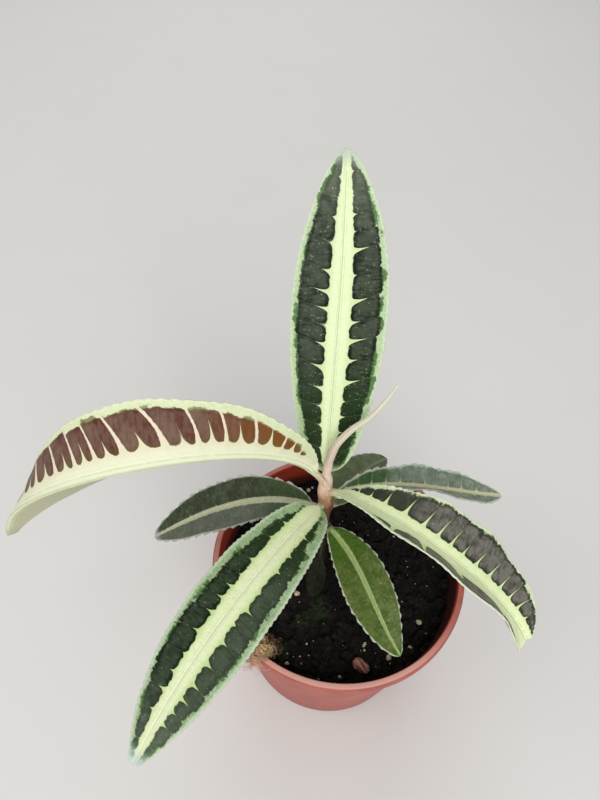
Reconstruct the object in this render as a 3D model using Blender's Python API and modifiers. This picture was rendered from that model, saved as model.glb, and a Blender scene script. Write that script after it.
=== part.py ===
# Potted labisia: a small foliage plant with nine open leaves and one that is still rolled up,
# in a plain round nursery pot.
#
# The tables below are in millimetres and degrees, and every mesh is made in metres, +Z up.
# The origin is the centre of the pot's base, on the surface that the pot stands on. The plant
# faces -Y. A compass heading of 0 degrees points to +X, and of 90 degrees to +Y.

import math
import random

import bmesh
import bpy
import numpy as np
from mathutils import Matrix

MM = 0.001
GAP = 0.3  # between pieces that touch

POT_HEIGHT = 76
RIM_RADIUS = 50
LIP_WIDTH = 2.6
LIP_DEPTH = 4.2
LIP_ROUNDING = (0.7, 1.1, 0.6)  # at the lip's inner, outer and lower edge
BASE_RADIUS = 37
WALL = 1.2
FLOOR = 1.8
BASE_ROUNDING = 1.5
POT_SIDES = 48
DRAIN_HOLES = 6
DRAIN_RADIUS = 3.5
DRAIN_RING = 27

SOIL_TOP = 65
SOIL_CELLS = 22
SOIL_WALL_GAP = 0.5  # wide enough for the flats of the many-sided pot
SOIL_FLOOR = 2.3
SOIL_MOUND = (1.4, 13)  # height and radius of the mound round the stem

STEM_FOOT = 46
STEM_TOP = 119
STEM_AT_SOIL = (-7.0, -3.0)
STEM_LEAN = (-0.02, 0.24)  # sideways and backwards, for each millimetre upwards
STEM_RADII = ((46, 1.3), (60, 1.5), (82, 1.5), (94, 1.9), (102, 2.3), (112, 2.5), (117, 2.4), (119, 1.3))
STEM_RINGS = (46, 60, 66, 98, 106, 112, 117, 119)  # heights of the stem's cross-sections
STEM_SCARS = (72, 78, 84, 89, 94)  # rings where old leaves fell
SCAR_SWELL = 0.35
STEM_SIDES_STEP = 3  # Blender's bevel resolution, which gives ten sides

BLADE = 0.7  # thickness at a leaf's edge
BLADE_MIDRIB = 1.0  # thickness along the midrib
PETIOLE = 1.7  # thickness of the leaf stalk

# A three-value entry holds the values at a leaf's base, middle and tip. "height" is where the
# leaf leaves the stem, "heading" its compass direction, "rise" its slope, "roll" the turn of
# the blade about its midrib, and "cup" the upward fold of the left and of the right half, as
# seen by someone who looks along the leaf from its base with the upper face on top.
LEAVES = {
    "leaf_back": dict(
        height=111, length=116.5, width=32.2, stalk=0.07, fullness=(0.36, 0.68), skew=1.03,
        heading=(91, 90, 96), rise=(58, 60, 54), roll=(-3, -2, 2), cup=((10, 7, 8), (12, 9, 6)),
        teeth=27, columns=6, waves=5, wave=0.5,
    ),
    "leaf_left": dict(
        height=113.5, length=153, width=38.8, stalk=0.09, fullness=(0.92, 0.76), skew=0.93,
        heading=(216, 196, 157), rise=(74, 0, -76), roll=(15, 87, 130), cup=((30, 44, 59), (20, 40, 87)),
        teeth=30, columns=6, waves=6, wave=0.4,
    ),
    "leaf_front_left": dict(
        height=105.5, length=108.5, width=27, stalk=0.07, fullness=(0.41, 0.72), skew=0.99,
        heading=(242, 236, 242), rise=(36, -10, -32), roll=(-9, -1, -1), cup=((11, 2, 7), (15, 2, 8)),
        teeth=26, columns=6, waves=6, wave=0.5,
    ),
    "leaf_right": dict(
        height=110.5, length=108, width=33.8, stalk=0.09, fullness=(0.77, 0.74), skew=1.05,
        heading=(-51, -29, -14), rise=(58, -18, -65), roll=(2, -9, 11), cup=((19, 12, 23), (34, 37, 28)),
        teeth=26, columns=6, waves=5, wave=0.7,
    ),
    "leaf_left_small": dict(
        height=101.5, length=68, width=23, stalk=0.07, fullness=(0.60, 0.64), skew=0.93,
        heading=(163, 190, 200), rise=(11, -14, -26), roll=(-2, 3, 1), cup=((12, 14, 8), (14, 7, 6)),
        teeth=15, columns=4, waves=3, wave=0.4,
    ),
    "leaf_right_small": dict(
        height=107.5, length=68, width=20.2, stalk=0.07, fullness=(0.66, 0.67), skew=1.03,
        heading=(19, 2, 8), rise=(22, -5, -9), roll=(0, -6, 3), cup=((10, 4, 8), (10, 45, 1)),
        teeth=15, columns=4, waves=4, wave=0.7,
    ),
    "leaf_front_small": dict(
        height=94.5, length=54.5, width=18.6, stalk=0.06, fullness=(0.54, 0.70), skew=0.95,
        heading=(322, 297, 313), rise=(2, -14, -31), roll=(1, 0, -1), cup=((11, 6, 6), (10, 5, 7)),
        teeth=14, columns=4, waves=3, wave=0.3,
    ),
    "leaf_behind": dict(
        height=101.5, length=34.5, width=16, stalk=0.07, fullness=(0.60, 0.70), skew=1.0,
        heading=(51, 47, 27), rise=(12, 5, -7), roll=(0, 0, 0), cup=((10, 8, 6), (10, 8, 6)),
        teeth=9, columns=4, waves=2, wave=0.3,
    ),
    "leaf_low": dict(
        height=91.5, length=29.5, width=7.6, stalk=0.35, fullness=(0.58, 0.49), skew=0.99,
        heading=(275, 257, 265), rise=(-21, -60, -57), roll=(0, 0, 0), cup=((10, 5, 0), (10, 4, 0)),
        teeth=7, columns=4, waves=1, wave=0.2, stalk_half=0.8,
    ),
}
STALK_HALF = 1.6  # half the width of a leaf stalk
TOOTH = 0.3  # how far a tooth of the leaf edge stands out
TIP_CUT = 0.99  # share of the outline that is kept, which leaves the tip blunt
CUP_ONSET = 0.06  # share of the blade over which the folding sets in

NEW_LEAF_POINTS = (
    (-8.1, 10.1, 119.6), (-7.4, 12.0, 125.8), (-5.5, 13.5, 132.7), (-1.2, 15.5, 138.4),
    (4.4, 17.5, 142.9), (8.9, 19.5, 149.2), (12.6, 21.5, 156.1),
)
NEW_LEAF_RADII = (1.3, 1.6, 1.5, 1.35, 1.15, 0.8, 0.35)

TUFT_HEADING = -126
TUFT_CORE = (  # distance from the pot's axis, height and radius
    (39.5, 67.6, 1.5), (42.5, 69.6, 1.9), (45.0, 74.0, 1.5), (47.0, 77.9, 1.4), (50.4, 78.0, 1.2), (52.3, 75.2, 0.9),
)
TUFT_ROOTLETS = 34
ROOTLET_RADIUS = 0.34
ROOTLET_LENGTH = (4.5, 9.0)
ROOTLET_STEPS = 4
TUFT_SPREAD = 13  # half the angle that the tuft takes up round the pot
TUFT_STRAY = 4  # how far a rootlet's heading may stray from the core's
TUFT_SEED = 7

LUMP_ROUGHNESS = (0.86, 1.08)  # how far a grain's corners stray from a ball
CHIP = dict(place=(9.3, -38.0), size=(6.0, 4.6, 2.6), turn=20, seed=3)
PERLITE_SUNK = 0.35  # share of a grain's width that lies below the soil's surface
PERLITE_SEED = 20
PERLITE = (  # each grain's place and width
    (32.3, -19.8, 2.2), (19.9, -33.8, 1.8), (10.6, -29.9, 1.7), (-18.2, -38.0, 1.6),
    (1.5, -41.6, 1.5), (28.6, -29.8, 2.0), (-15.8, -11.7, 2.4), (-12.8, 38.6, 1.8),
)


def clear_scene():
    for obj in list(bpy.data.objects):
        bpy.data.objects.remove(obj, do_unlink=True)


def new_collection(name, hidden=False):
    collection = bpy.data.collections.new(name)
    bpy.context.scene.collection.children.link(collection)
    collection.hide_render = hidden
    return collection


def new_material(name, colour, roughness):
    material = bpy.data.materials.new(name)
    material.use_nodes = True
    shader = material.node_tree.nodes["Principled BSDF"]
    shader.inputs["Base Color"].default_value = (*colour, 1)
    shader.inputs["Roughness"].default_value = roughness
    shader.inputs["Metallic"].default_value = 0
    material.diffuse_color = (*colour, 1)
    return material


def new_object(name, mesh, collection, material=None):
    obj = bpy.data.objects.new(name, mesh)
    collection.objects.link(obj)
    if material:
        mesh.materials.append(material)
    return obj


def new_cutter(name, mesh, cutters):
    cutter = new_object(name, mesh, cutters)
    cutter.hide_render = True
    cutter.display_type = "WIRE"
    return cutter


def mesh_from(bm, name):
    bm.normal_update()
    mesh = bpy.data.meshes.new(name)
    bm.to_mesh(mesh)
    bm.free()
    return mesh


def smooth(mesh, degrees=40):
    mesh.shade_smooth()
    mesh.set_sharp_from_angle(angle=math.radians(degrees))


def cut(obj, cutter, name):
    boolean = obj.modifiers.new(name, "BOOLEAN")
    boolean.operation = "DIFFERENCE"
    boolean.solver = "EXACT"
    boolean.object = cutter


def solid_mesh(obj, name):
    """The evaluated mesh of a curve or of an object with modifiers, with its caps welded on."""
    graph = bpy.context.evaluated_depsgraph_get()
    graph.update()
    mesh = bpy.data.meshes.new_from_object(obj.evaluated_get(graph))
    bm = bmesh.new()
    bm.from_mesh(mesh)
    bmesh.ops.remove_doubles(bm, verts=bm.verts, dist=1e-6)
    bm.to_mesh(mesh)
    bm.free()
    mesh.name = name
    return mesh


def tube(name, points, radii, collection, material=None, resolution=STEM_SIDES_STEP):
    """A curve with round cross-sections of the given radii at the given points, in millimetres."""
    curve = bpy.data.curves.new(name, "CURVE")
    curve.dimensions = "3D"
    curve.bevel_depth = MM
    curve.bevel_resolution = resolution
    curve.use_fill_caps = True
    spline = curve.splines.new("POLY")
    spline.points.add(len(points) - 1)
    for target, point, radius in zip(spline.points, points, radii):
        target.co = (*(MM * float(c) for c in point), 1)
        target.radius = radius
    spline.use_smooth = True
    return new_object(name, curve, collection, material)


def fuse(obj, loose):
    """Joins the solids of a collection to an object, applies that, and removes the collection."""
    union = obj.modifiers.new("Fuse", "BOOLEAN")
    union.operation = "UNION"
    union.solver = "EXACT"
    union.operand_type = "COLLECTION"
    union.collection = loose
    fused = solid_mesh(obj, obj.name)
    obj.modifiers.clear()
    obj.data = fused
    for piece in list(loose.objects):
        bpy.data.objects.remove(piece, do_unlink=True)
    bpy.data.collections.remove(loose)


def lump(name, size, turn, seed, level):
    """An angular grain: a rough ball, squashed to its size and turned, with its lowest point at zero."""
    draw = random.Random(seed)
    bm = bmesh.new()
    bmesh.ops.create_icosphere(bm, subdivisions=level, radius=0.5)
    for vert in bm.verts:
        vert.co *= draw.uniform(*LUMP_ROUGHNESS)
    cosine, sine = math.cos(math.radians(turn)), math.sin(math.radians(turn))
    low = min(vert.co.z for vert in bm.verts)
    for vert in bm.verts:
        a, b = vert.co.x * size[0], vert.co.y * size[1]
        vert.co = ((a * cosine - b * sine) * MM, (a * sine + b * cosine) * MM, (vert.co.z - low) * size[2] * MM)
    return bpy.data.objects.new(name, mesh_from(bm, name))


def set_down(obj, place, height):
    """Moves a lump's mesh to its place on the soil."""
    x, y = place
    obj.data.transform(Matrix.Translation((x * MM, y * MM, height * MM)))


def arc(centre_r, centre_z, radius, start, end, steps):
    """Points of an arc in the plane of the pot's profile, from one angle to another."""
    angles = [math.radians(start + (end - start) * i / steps) for i in range(steps + 1)]
    return [(centre_r + radius * math.cos(a), centre_z + radius * math.sin(a)) for a in angles]


def wall_radius(height):
    """The outer radius of the tapered wall at a height."""
    top = RIM_RADIUS - LIP_WIDTH + WALL
    return BASE_RADIUS + (top - BASE_RADIUS) * height / POT_HEIGHT


def pot_profile():
    """From the middle of the inner floor, up inside, over the rolled lip and down outside."""
    inner, outer, lower = LIP_ROUNDING
    lip_inner = RIM_RADIUS - LIP_WIDTH
    inner_floor = wall_radius(FLOOR) - WALL
    lip_bottom = POT_HEIGHT - LIP_DEPTH
    profile = [(0, FLOOR), (inner_floor - 2, FLOOR), (inner_floor, FLOOR + 1.5)]
    profile += [(wall_radius(z) - WALL, z) for z in (POT_HEIGHT * 0.33, POT_HEIGHT * 0.66)]
    profile += arc(lip_inner + inner, POT_HEIGHT - inner, inner, 180, 90, 2)
    profile += arc(RIM_RADIUS - outer, POT_HEIGHT - outer, outer, 90, 0, 3)
    profile += arc(RIM_RADIUS - lower, lip_bottom + lower, lower, 0, -90, 2)
    profile += [(wall_radius(z), z) for z in (lip_bottom - 0.4, POT_HEIGHT * 0.5)]
    base = wall_radius(BASE_ROUNDING)
    profile += arc(base - BASE_ROUNDING, BASE_ROUNDING, BASE_ROUNDING, 0, -90, 3)
    return profile + [(0, 0)]


def turn_profile(name, profile, collection, material):
    mesh = bpy.data.meshes.new(name)
    points = [(r * MM, 0, z * MM) for r, z in profile]
    mesh.from_pydata(points, [(i, i + 1) for i in range(len(points) - 1)], [])
    obj = new_object(name, mesh, collection, material)
    screw = obj.modifiers.new("Turn", "SCREW")
    screw.axis = "Z"
    screw.angle = math.tau
    screw.steps = screw.render_steps = POT_SIDES
    screw.use_merge_vertices = True
    screw.merge_threshold = 0.00001
    screw.use_smooth_shade = True
    return obj


def build_pot(parts, cutters, material):
    pot = turn_profile("pot", pot_profile(), parts, material)
    bm = bmesh.new()
    for hole in range(DRAIN_HOLES):
        angle = math.tau * (hole + 0.5) / DRAIN_HOLES
        made = bmesh.ops.create_cone(
            bm, cap_ends=True, segments=12, radius1=DRAIN_RADIUS * MM, radius2=DRAIN_RADIUS * MM, depth=8 * MM
        )
        place = (DRAIN_RING * MM * math.cos(angle), DRAIN_RING * MM * math.sin(angle), 0)
        bmesh.ops.translate(bm, verts=made["verts"], vec=place)
    cut(pot, new_cutter("drain_hole_cutter", mesh_from(bm, "drain_hole_cutter"), cutters), "Drain holes")


def soil_height(x, y):
    """Gentle hollows and mounds, a little higher round the stem and lower at the pot's wall."""
    stem_distance = np.hypot(x - STEM_AT_SOIL[0], y - STEM_AT_SOIL[1])
    mound = SOIL_MOUND[0] * np.exp(-((stem_distance / SOIL_MOUND[1]) ** 2))
    rolling = 0.6 * np.sin(x / 6.1 + 0.8) * np.cos(y / 5.3 - 0.4) + 0.4 * np.sin((x + 1.7 * y) / 8.3)
    return SOIL_TOP - 0.8 + mound + rolling - 0.9 * (np.hypot(x, y) / 45) ** 6


def build_soil(parts, stem_clearance, material):
    """A square grid mapped to a disc and drawn down to the pot's floor, with perlite grains half sunk in it."""
    bm = bmesh.new()
    bmesh.ops.create_grid(bm, x_segments=SOIL_CELLS, y_segments=SOIL_CELLS, size=1)
    top_radius = wall_radius(SOIL_TOP) - WALL - SOIL_WALL_GAP
    bottom_radius = wall_radius(SOIL_FLOOR + 1) - WALL - SOIL_WALL_GAP - 1.2
    top = list(bm.verts)
    for vert in top:
        a, b, _ = vert.co
        x = top_radius * a * math.sqrt(1 - b * b / 2)
        y = top_radius * b * math.sqrt(1 - a * a / 2)
        vert.co = (x * MM, y * MM, float(soil_height(x, y)) * MM)
    made = bmesh.ops.extrude_face_region(bm, geom=list(bm.faces), use_keep_orig=True)
    lower = [item for item in made["geom"] if isinstance(item, bmesh.types.BMVert)]
    for vert in lower:
        shrink = bottom_radius / top_radius
        vert.co = (vert.co.x * shrink, vert.co.y * shrink, SOIL_FLOOR * MM)
    flat = [face for face in bm.faces if all(vert in set(lower) for vert in face.verts)]
    bmesh.ops.dissolve_faces(bm, faces=flat)
    bmesh.ops.recalc_face_normals(bm, faces=bm.faces)
    soil = new_object("soil", mesh_from(bm, "soil"), parts, material)
    loose = new_collection("Perlite grains", hidden=True)
    for number, (x, y, size) in enumerate(PERLITE, start=1):
        grain = lump(f"perlite_{number}", (size, size * 0.85, size * 0.8), 40 * number, PERLITE_SEED + number, 1)
        set_down(grain, (x, y), float(soil_height(x, y)) - PERLITE_SUNK * size)
        loose.objects.link(grain)
    fuse(soil, loose)
    smooth(soil.data)
    cut(soil, stem_clearance, "Stem hole")


def stem_centre(height):
    rise = height - SOIL_TOP
    return (STEM_AT_SOIL[0] + STEM_LEAN[0] * rise, STEM_AT_SOIL[1] + STEM_LEAN[1] * rise, height)


def stem_radius(height):
    heights, radii = zip(*STEM_RADII)
    scars = sum(math.exp(-((height - scar) ** 2)) for scar in STEM_SCARS)
    return float(np.interp(height, heights, radii)) + SCAR_SWELL * scars


def build_stem(parts, cutters, material):
    """The stem, and a fatter copy of it that cuts its hole in the soil and the leaves' feet."""
    heights = sorted({*STEM_RINGS, *STEM_SCARS, *(scar + 2 for scar in STEM_SCARS)})
    points = [stem_centre(h) for h in heights]
    radii = [stem_radius(h) for h in heights]
    tube("stem", points, radii, parts, material)
    points[0] = stem_centre(STEM_FOOT - GAP)
    points[-1] = stem_centre(STEM_TOP + GAP)
    guide = tube("stem_guide", points, [r + 1.2 * GAP for r in radii], cutters)
    cutter = new_cutter("stem_clearance", solid_mesh(guide, "stem_clearance"), cutters)
    bpy.data.objects.remove(guide, do_unlink=True)
    return cutter


def through(values, t):
    """A smooth curve through the values at the base, the middle and the tip of a leaf."""
    base, middle, tip = values
    return base * (1 - t) * (1 - 2 * t) + middle * 4 * t * (1 - t) + tip * t * (2 * t - 1)


def leaf_frame(leaf, t):
    """The midrib's direction, the blade's upward normal and its left side, at shares t of the length."""
    rise, heading, roll = (np.radians(through(leaf[key], t)) for key in ("rise", "heading", "roll"))
    ahead = np.stack([np.cos(rise) * np.cos(heading), np.cos(rise) * np.sin(heading), np.sin(rise)], -1)
    up = np.stack([-np.sin(rise) * np.cos(heading), -np.sin(rise) * np.sin(heading), np.cos(rise)], -1)
    left = np.stack([-np.sin(heading), np.cos(heading), 0 * heading], -1)
    turn_cos, turn_sin = np.cos(roll)[:, None], np.sin(roll)[:, None]
    return ahead, turn_cos * up - turn_sin * left, turn_sin * up + turn_cos * left


def midrib(leaf, t):
    """The midrib's points, by adding up short steps along its direction from the stem's middle."""
    fine = np.linspace(0, 1, 241)
    ahead, _, _ = leaf_frame(leaf, (fine[1:] + fine[:-1]) / 2)
    steps = np.cumsum(ahead * leaf["length"] / (len(fine) - 1), axis=0)
    path = np.vstack([np.zeros(3), steps]) + stem_centre(leaf["height"])
    return np.stack([np.interp(t, fine, path[:, axis]) for axis in range(3)], -1)


def half_width(leaf, t):
    """A power of a sine arch for the blade, joined smoothly to the narrow stalk."""
    along = np.clip((t - leaf["stalk"]) / (1 - leaf["stalk"]), 0, 1) ** leaf["skew"] * TIP_CUT
    power = leaf["fullness"][0] + (leaf["fullness"][1] - leaf["fullness"][0]) * along
    blade = leaf["width"] / 2 * np.sin(math.pi * along) ** power
    stalk = leaf.get("stalk_half", STALK_HALF) * np.clip(1 - 2 * along, 0, 1)
    return (blade**4 + stalk**4) ** 0.25, along


def leaf_points(leaf, across, t):
    """Points of the blade's middle surface: across runs from -1, the right edge, to 1, the left edge."""
    _, up, left = leaf_frame(leaf, t)
    half, along = half_width(leaf, t)
    edge = np.abs(across) ** 3
    teeth = np.cos(math.tau * leaf["teeth"] * t) * np.sin(math.pi * along)
    reach = (half + TOOTH * teeth * (np.abs(across) > 0.99)) * np.abs(across)
    onset = np.clip(along / CUP_ONSET, 0, 1) ** 2
    cup = np.where(across > 0, through(leaf["cup"][0], t), through(leaf["cup"][1], t)) * onset
    cup = np.radians(cup)
    ripple = leaf["wave"] * edge * np.sin(math.tau * leaf["waves"] * t + (across > 0)) * np.sin(math.pi * along)
    sideways = np.sign(across) * reach * np.cos(cup)
    upwards = reach * np.sin(cup) + ripple
    return midrib(leaf, t) + sideways[:, None] * left + upwards[:, None] * up


def leaf_thickness(leaf, across, t):
    """Thick in the stalk and along the midrib, thin at the edge."""
    _, along = half_width(leaf, t)
    rib = BLADE_MIDRIB - (BLADE_MIDRIB - BLADE) * t
    blade = BLADE + (rib - BLADE) * np.clip(1 - 2.2 * np.abs(across), 0, 1)
    stalk = np.clip(1 - along / 0.1, 0, 1)
    return blade + (PETIOLE - blade) * stalk * (1 - 0.35 * np.abs(across))


def build_leaf(name, leaf, parts, stem_clearance, material):
    """A grid bent to the leaf's form, split into triangles, thickened and cut at the stem."""
    bm = bmesh.new()
    bmesh.ops.create_grid(bm, x_segments=leaf["columns"], y_segments=2 * leaf["teeth"], size=1)
    verts = list(bm.verts)
    across = np.round([vert.co.x for vert in verts], 6)
    t = (np.array([vert.co.y for vert in verts]) + 1) / 2
    for vert, point in zip(verts, leaf_points(leaf, across, t)):
        vert.co = point * MM
    bmesh.ops.triangulate(bm, faces=bm.faces, quad_method="FIXED")
    leaf_object = new_object(name, mesh_from(bm, name), parts, material)
    weights = (leaf_thickness(leaf, across, t) - BLADE) / (PETIOLE - BLADE)
    group = leaf_object.vertex_groups.new(name="thickness")
    for index, weight in enumerate(weights):
        group.add([index], float(weight), "REPLACE")
    solidify = leaf_object.modifiers.new("Thickness", "SOLIDIFY")
    solidify.thickness = PETIOLE * MM
    solidify.offset = 0
    solidify.vertex_group = "thickness"
    solidify.thickness_vertex_group = BLADE / PETIOLE
    solidify.use_quality_normals = True
    smooth(leaf_object.data)
    cut(leaf_object, stem_clearance, "Clear of the stem")


def spread(points, count):
    """Points along a smooth curve through the given ones, by cubic interpolation."""
    points = np.array(points, float)
    padded = np.vstack([2 * points[0] - points[1], points, 2 * points[-1] - points[-2]])
    places = np.linspace(0, len(points) - 1, count)
    index = np.minimum(places.astype(int), len(points) - 2)
    u = (places - index)[:, None]
    p0, p1, p2, p3 = (padded[index + k] for k in range(4))
    return 0.5 * (2 * p1 + (p2 - p0) * u + (2 * p0 - 5 * p1 + 4 * p2 - p3) * u**2 + (3 * p1 - p0 - 3 * p2 + p3) * u**3)


def build_new_leaf(parts, material):
    rows = [(*point, radius) for point, radius in zip(NEW_LEAF_POINTS, NEW_LEAF_RADII)]
    fine = spread(rows, 16)
    tube("new_leaf", fine[:, :3], fine[:, 3], parts, material)


def pot_point(radius, height, heading):
    """A point given by its distance from the pot's axis, its height and its compass heading."""
    angle = math.radians(heading)
    return np.array([radius * math.cos(angle), radius * math.sin(angle), height])


def clear_of_pot(radius, height, room):
    """Lifts a point of the tuft off the soil and the lip, or holds it outside the wall."""
    if radius > RIM_RADIUS + room:
        return radius, height
    if radius > RIM_RADIUS - LIP_WIDTH - room:
        return radius, max(height, POT_HEIGHT + room)
    return min(radius, RIM_RADIUS - LIP_WIDTH - WALL - room), max(height, SOIL_TOP + 1.0 + room)


def rootlet_points(draw, core):
    """A short curl that leaves the tuft's core sideways and upwards, and then droops."""
    radius, height, _ = core[draw.randrange(len(core))]
    heading = TUFT_HEADING + draw.uniform(-TUFT_STRAY, TUFT_STRAY)
    out, lift, turn = draw.uniform(-1, 1), draw.uniform(0.1, 1.0), draw.uniform(-1, 1)
    length = draw.uniform(*ROOTLET_LENGTH)
    points = [pot_point(radius, height, TUFT_HEADING)]
    for step in range(1, ROOTLET_STEPS + 1):
        share = step / ROOTLET_STEPS
        r = radius + length * share * 0.6 * out
        z = height + length * (0.55 * lift * share - 0.5 * share**2)
        r, z = clear_of_pot(r, z, GAP + 2 * ROOTLET_RADIUS)
        points.append(pot_point(r, z, heading + TUFT_SPREAD * turn * share))
    return points


def build_tuft(parts, material):
    """A bent core that lies over the lip, with curled rootlets that start inside it, all fused."""
    draw = random.Random(TUFT_SEED)
    loose = new_collection("Tuft pieces", hidden=True)
    core = [tuple(row) for row in spread(TUFT_CORE, 12)]
    path = [pot_point(r, z, TUFT_HEADING) for r, z, _ in core]
    guide = tube("tuft_core_guide", path, [radius for _, _, radius in core], parts, resolution=2)
    tuft = new_object("fibre_tuft", solid_mesh(guide, "fibre_tuft"), parts, material)
    bpy.data.objects.remove(guide, do_unlink=True)
    for number in range(TUFT_ROOTLETS):
        radii = [ROOTLET_RADIUS] * (ROOTLET_STEPS + 1)
        curl = tube("rootlet_guide", rootlet_points(draw, core[1:]), radii, loose, resolution=0)
        new_object(f"rootlet_{number}", solid_mesh(curl, "rootlet"), loose)
        bpy.data.objects.remove(curl, do_unlink=True)
    fuse(tuft, loose)


def build_chip(parts, material):
    """The bark chip lies clear of the highest soil below it."""
    chip = lump("bark_chip", CHIP["size"], CHIP["turn"], CHIP["seed"], 2)
    chip.data.materials.append(material)
    x, y = CHIP["place"]
    reach = max(CHIP["size"]) / 2
    around = [(x + reach * math.cos(a), y + reach * math.sin(a)) for a in np.linspace(0, math.tau, 9)]
    ground = max(float(soil_height(*spot)) for spot in [(x, y), *around])
    set_down(chip, (x, y), ground + GAP)
    parts.objects.link(chip)


def main():
    clear_scene()
    parts = new_collection("Potted labisia")
    cutters = new_collection("Cutters", hidden=True)
    terracotta = new_material("Terracotta plastic", (0.42, 0.13, 0.09), 0.5)
    peat = new_material("Peat", (0.02, 0.017, 0.014), 0.95)
    bark = new_material("Stem bark", (0.5, 0.36, 0.25), 0.6)
    patterned = new_material("Patterned leaf", (0.1, 0.2, 0.08), 0.5)
    plain = new_material("Plain leaf", (0.12, 0.22, 0.06), 0.5)
    young = new_material("Young leaf", (0.72, 0.62, 0.5), 0.5)
    fibre = new_material("Dry fibre", (0.55, 0.42, 0.25), 0.9)
    chip = new_material("Bark chip", (0.3, 0.12, 0.08), 0.9)
    build_pot(parts, cutters, terracotta)
    stem_clearance = build_stem(parts, cutters, bark)
    build_soil(parts, stem_clearance, peat)
    large = ("leaf_back", "leaf_left", "leaf_front_left", "leaf_right")
    for name, leaf in LEAVES.items():
        build_leaf(name, leaf, parts, stem_clearance, patterned if name in large else plain)
    build_new_leaf(parts, young)
    build_tuft(parts, fibre)
    build_chip(parts, chip)


main()
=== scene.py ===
# Potted labisia, dressed for the render: patterned leaves, stem, soil, fibre tuft and nursery pot.
# Lengths are in millimetres unless a note says metres, and become metres in the meshes. The plant
# faces -Y. Colours are red, green and blue from 0 to 255.
import math
from types import SimpleNamespace

import bpy
import numpy as np
from mathutils import Matrix, Vector


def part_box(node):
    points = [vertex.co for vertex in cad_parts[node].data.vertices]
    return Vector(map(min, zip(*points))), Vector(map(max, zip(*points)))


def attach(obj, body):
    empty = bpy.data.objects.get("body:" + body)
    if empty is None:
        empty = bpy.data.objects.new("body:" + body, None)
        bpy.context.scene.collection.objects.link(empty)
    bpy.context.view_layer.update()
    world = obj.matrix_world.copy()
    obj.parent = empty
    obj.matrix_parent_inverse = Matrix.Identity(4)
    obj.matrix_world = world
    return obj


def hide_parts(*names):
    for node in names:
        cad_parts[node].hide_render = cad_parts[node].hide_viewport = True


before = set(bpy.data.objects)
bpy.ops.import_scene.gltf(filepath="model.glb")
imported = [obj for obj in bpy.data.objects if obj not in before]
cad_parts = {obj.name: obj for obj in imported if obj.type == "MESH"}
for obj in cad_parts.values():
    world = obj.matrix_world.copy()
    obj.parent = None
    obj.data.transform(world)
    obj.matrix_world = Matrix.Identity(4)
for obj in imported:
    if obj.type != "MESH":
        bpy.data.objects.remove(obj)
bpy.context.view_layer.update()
mm = 0.001
turn = math.tau


def meshFrom(name, points, faceSets):
    # faceSets is a list of index arrays, one row for each face
    points = np.asarray(points).reshape(-1, 3) * mm
    sizes = np.concatenate([np.full(len(faces), faces.shape[1]) for faces in faceSets])
    corners = np.concatenate([faces.ravel() for faces in faceSets]).astype(np.int32)
    mesh = bpy.data.meshes.new(name)
    mesh.vertices.add(len(points))
    mesh.vertices.foreach_set("co", points.astype(np.float32).ravel())
    mesh.loops.add(len(corners))
    mesh.loops.foreach_set("vertex_index", corners)
    mesh.polygons.add(len(sizes))
    mesh.polygons.foreach_set("loop_start", (np.cumsum(sizes) - sizes).astype(np.int32))
    mesh.update(calc_edges=True)
    mesh.shade_smooth()
    return mesh


def addObject(name, data):
    thing = bpy.data.objects.new(name, data)
    bpy.context.scene.collection.objects.link(thing)
    return thing


def newPiece(name, mesh, materials, node=None):
    piece = addObject(name, mesh)
    for material in materials:
        mesh.materials.append(material)
    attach(piece, "root")
    if node:
        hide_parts(node)


def baked(name, mesh, change, spares=()):
    # the mesh after the modifiers that change adds to a passing object
    body = addObject(name, mesh)
    change(body)
    graph = bpy.context.evaluated_depsgraph_get()
    result = bpy.data.meshes.new_from_object(body.evaluated_get(graph))
    for spare in (*spares, body):
        bpy.data.objects.remove(spare, do_unlink=True)
    return result


def addVectors(mesh, name, values):
    # one vector for each vertex
    layer = mesh.attributes.new(name, "FLOAT_VECTOR", "POINT")
    layer.data.foreach_set("vector", np.float32(values).ravel())


def nodeCorners(node):
    return (np.array(corner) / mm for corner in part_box(node))


def vectors(*parts):
    # points or vectors from their x, y and z, given as numbers or arrays that fit each other
    return np.stack(np.broadcast_arrays(*parts), -1)


def unit(directions):
    return directions / np.maximum(np.linalg.norm(directions, axis=-1, keepdims=True), 1e-9)


def around(sides):
    # evenly spaced angles, once round
    return np.arange(sides) * turn / sides


def bell(x):
    return np.exp(-(x**2))


def ramp(x):
    return np.clip(x, 0, 1)


def gridFaces(rows, columns, wrap=False, flip=False, first=0):
    # quads of a grid that is numbered row by row; wrap joins the last column to the first
    i, j = np.meshgrid(np.arange(rows - 1), np.arange(columns - (not wrap)), indexing="ij")
    k = (j + 1) % columns
    quads = np.stack([i * columns + j, (i + 1) * columns + j, (i + 1) * columns + k, i * columns + k], -1)
    quads = quads.reshape(-1, 4) + first
    return quads[:, ::-1] if flip else quads


def gridBorder(rows, columns):
    # the points round such a grid: along its first column, last row, last column and first row
    i, j = np.arange(rows) * columns, np.arange(columns)
    return np.concatenate([i[:-1], i[-1] + j[:-1], i[:0:-1] + columns - 1, j[:0:-1]])


def tubeMesh(name, *shells):
    # each shell holds rings of points (rows x sides x 3) and becomes a tube with closed ends
    faceSets, first = [], 0
    for rows, sides, _ in (shell.shape for shell in shells):
        end = first + np.arange(sides)[None]
        faceSets += [gridFaces(rows, sides, True, True, first), end[:, ::-1], end + (rows - 1) * sides]
        first += rows * sides
    return meshFrom(name, np.concatenate([shell.reshape(-1, 3) for shell in shells]), faceSets)


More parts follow.
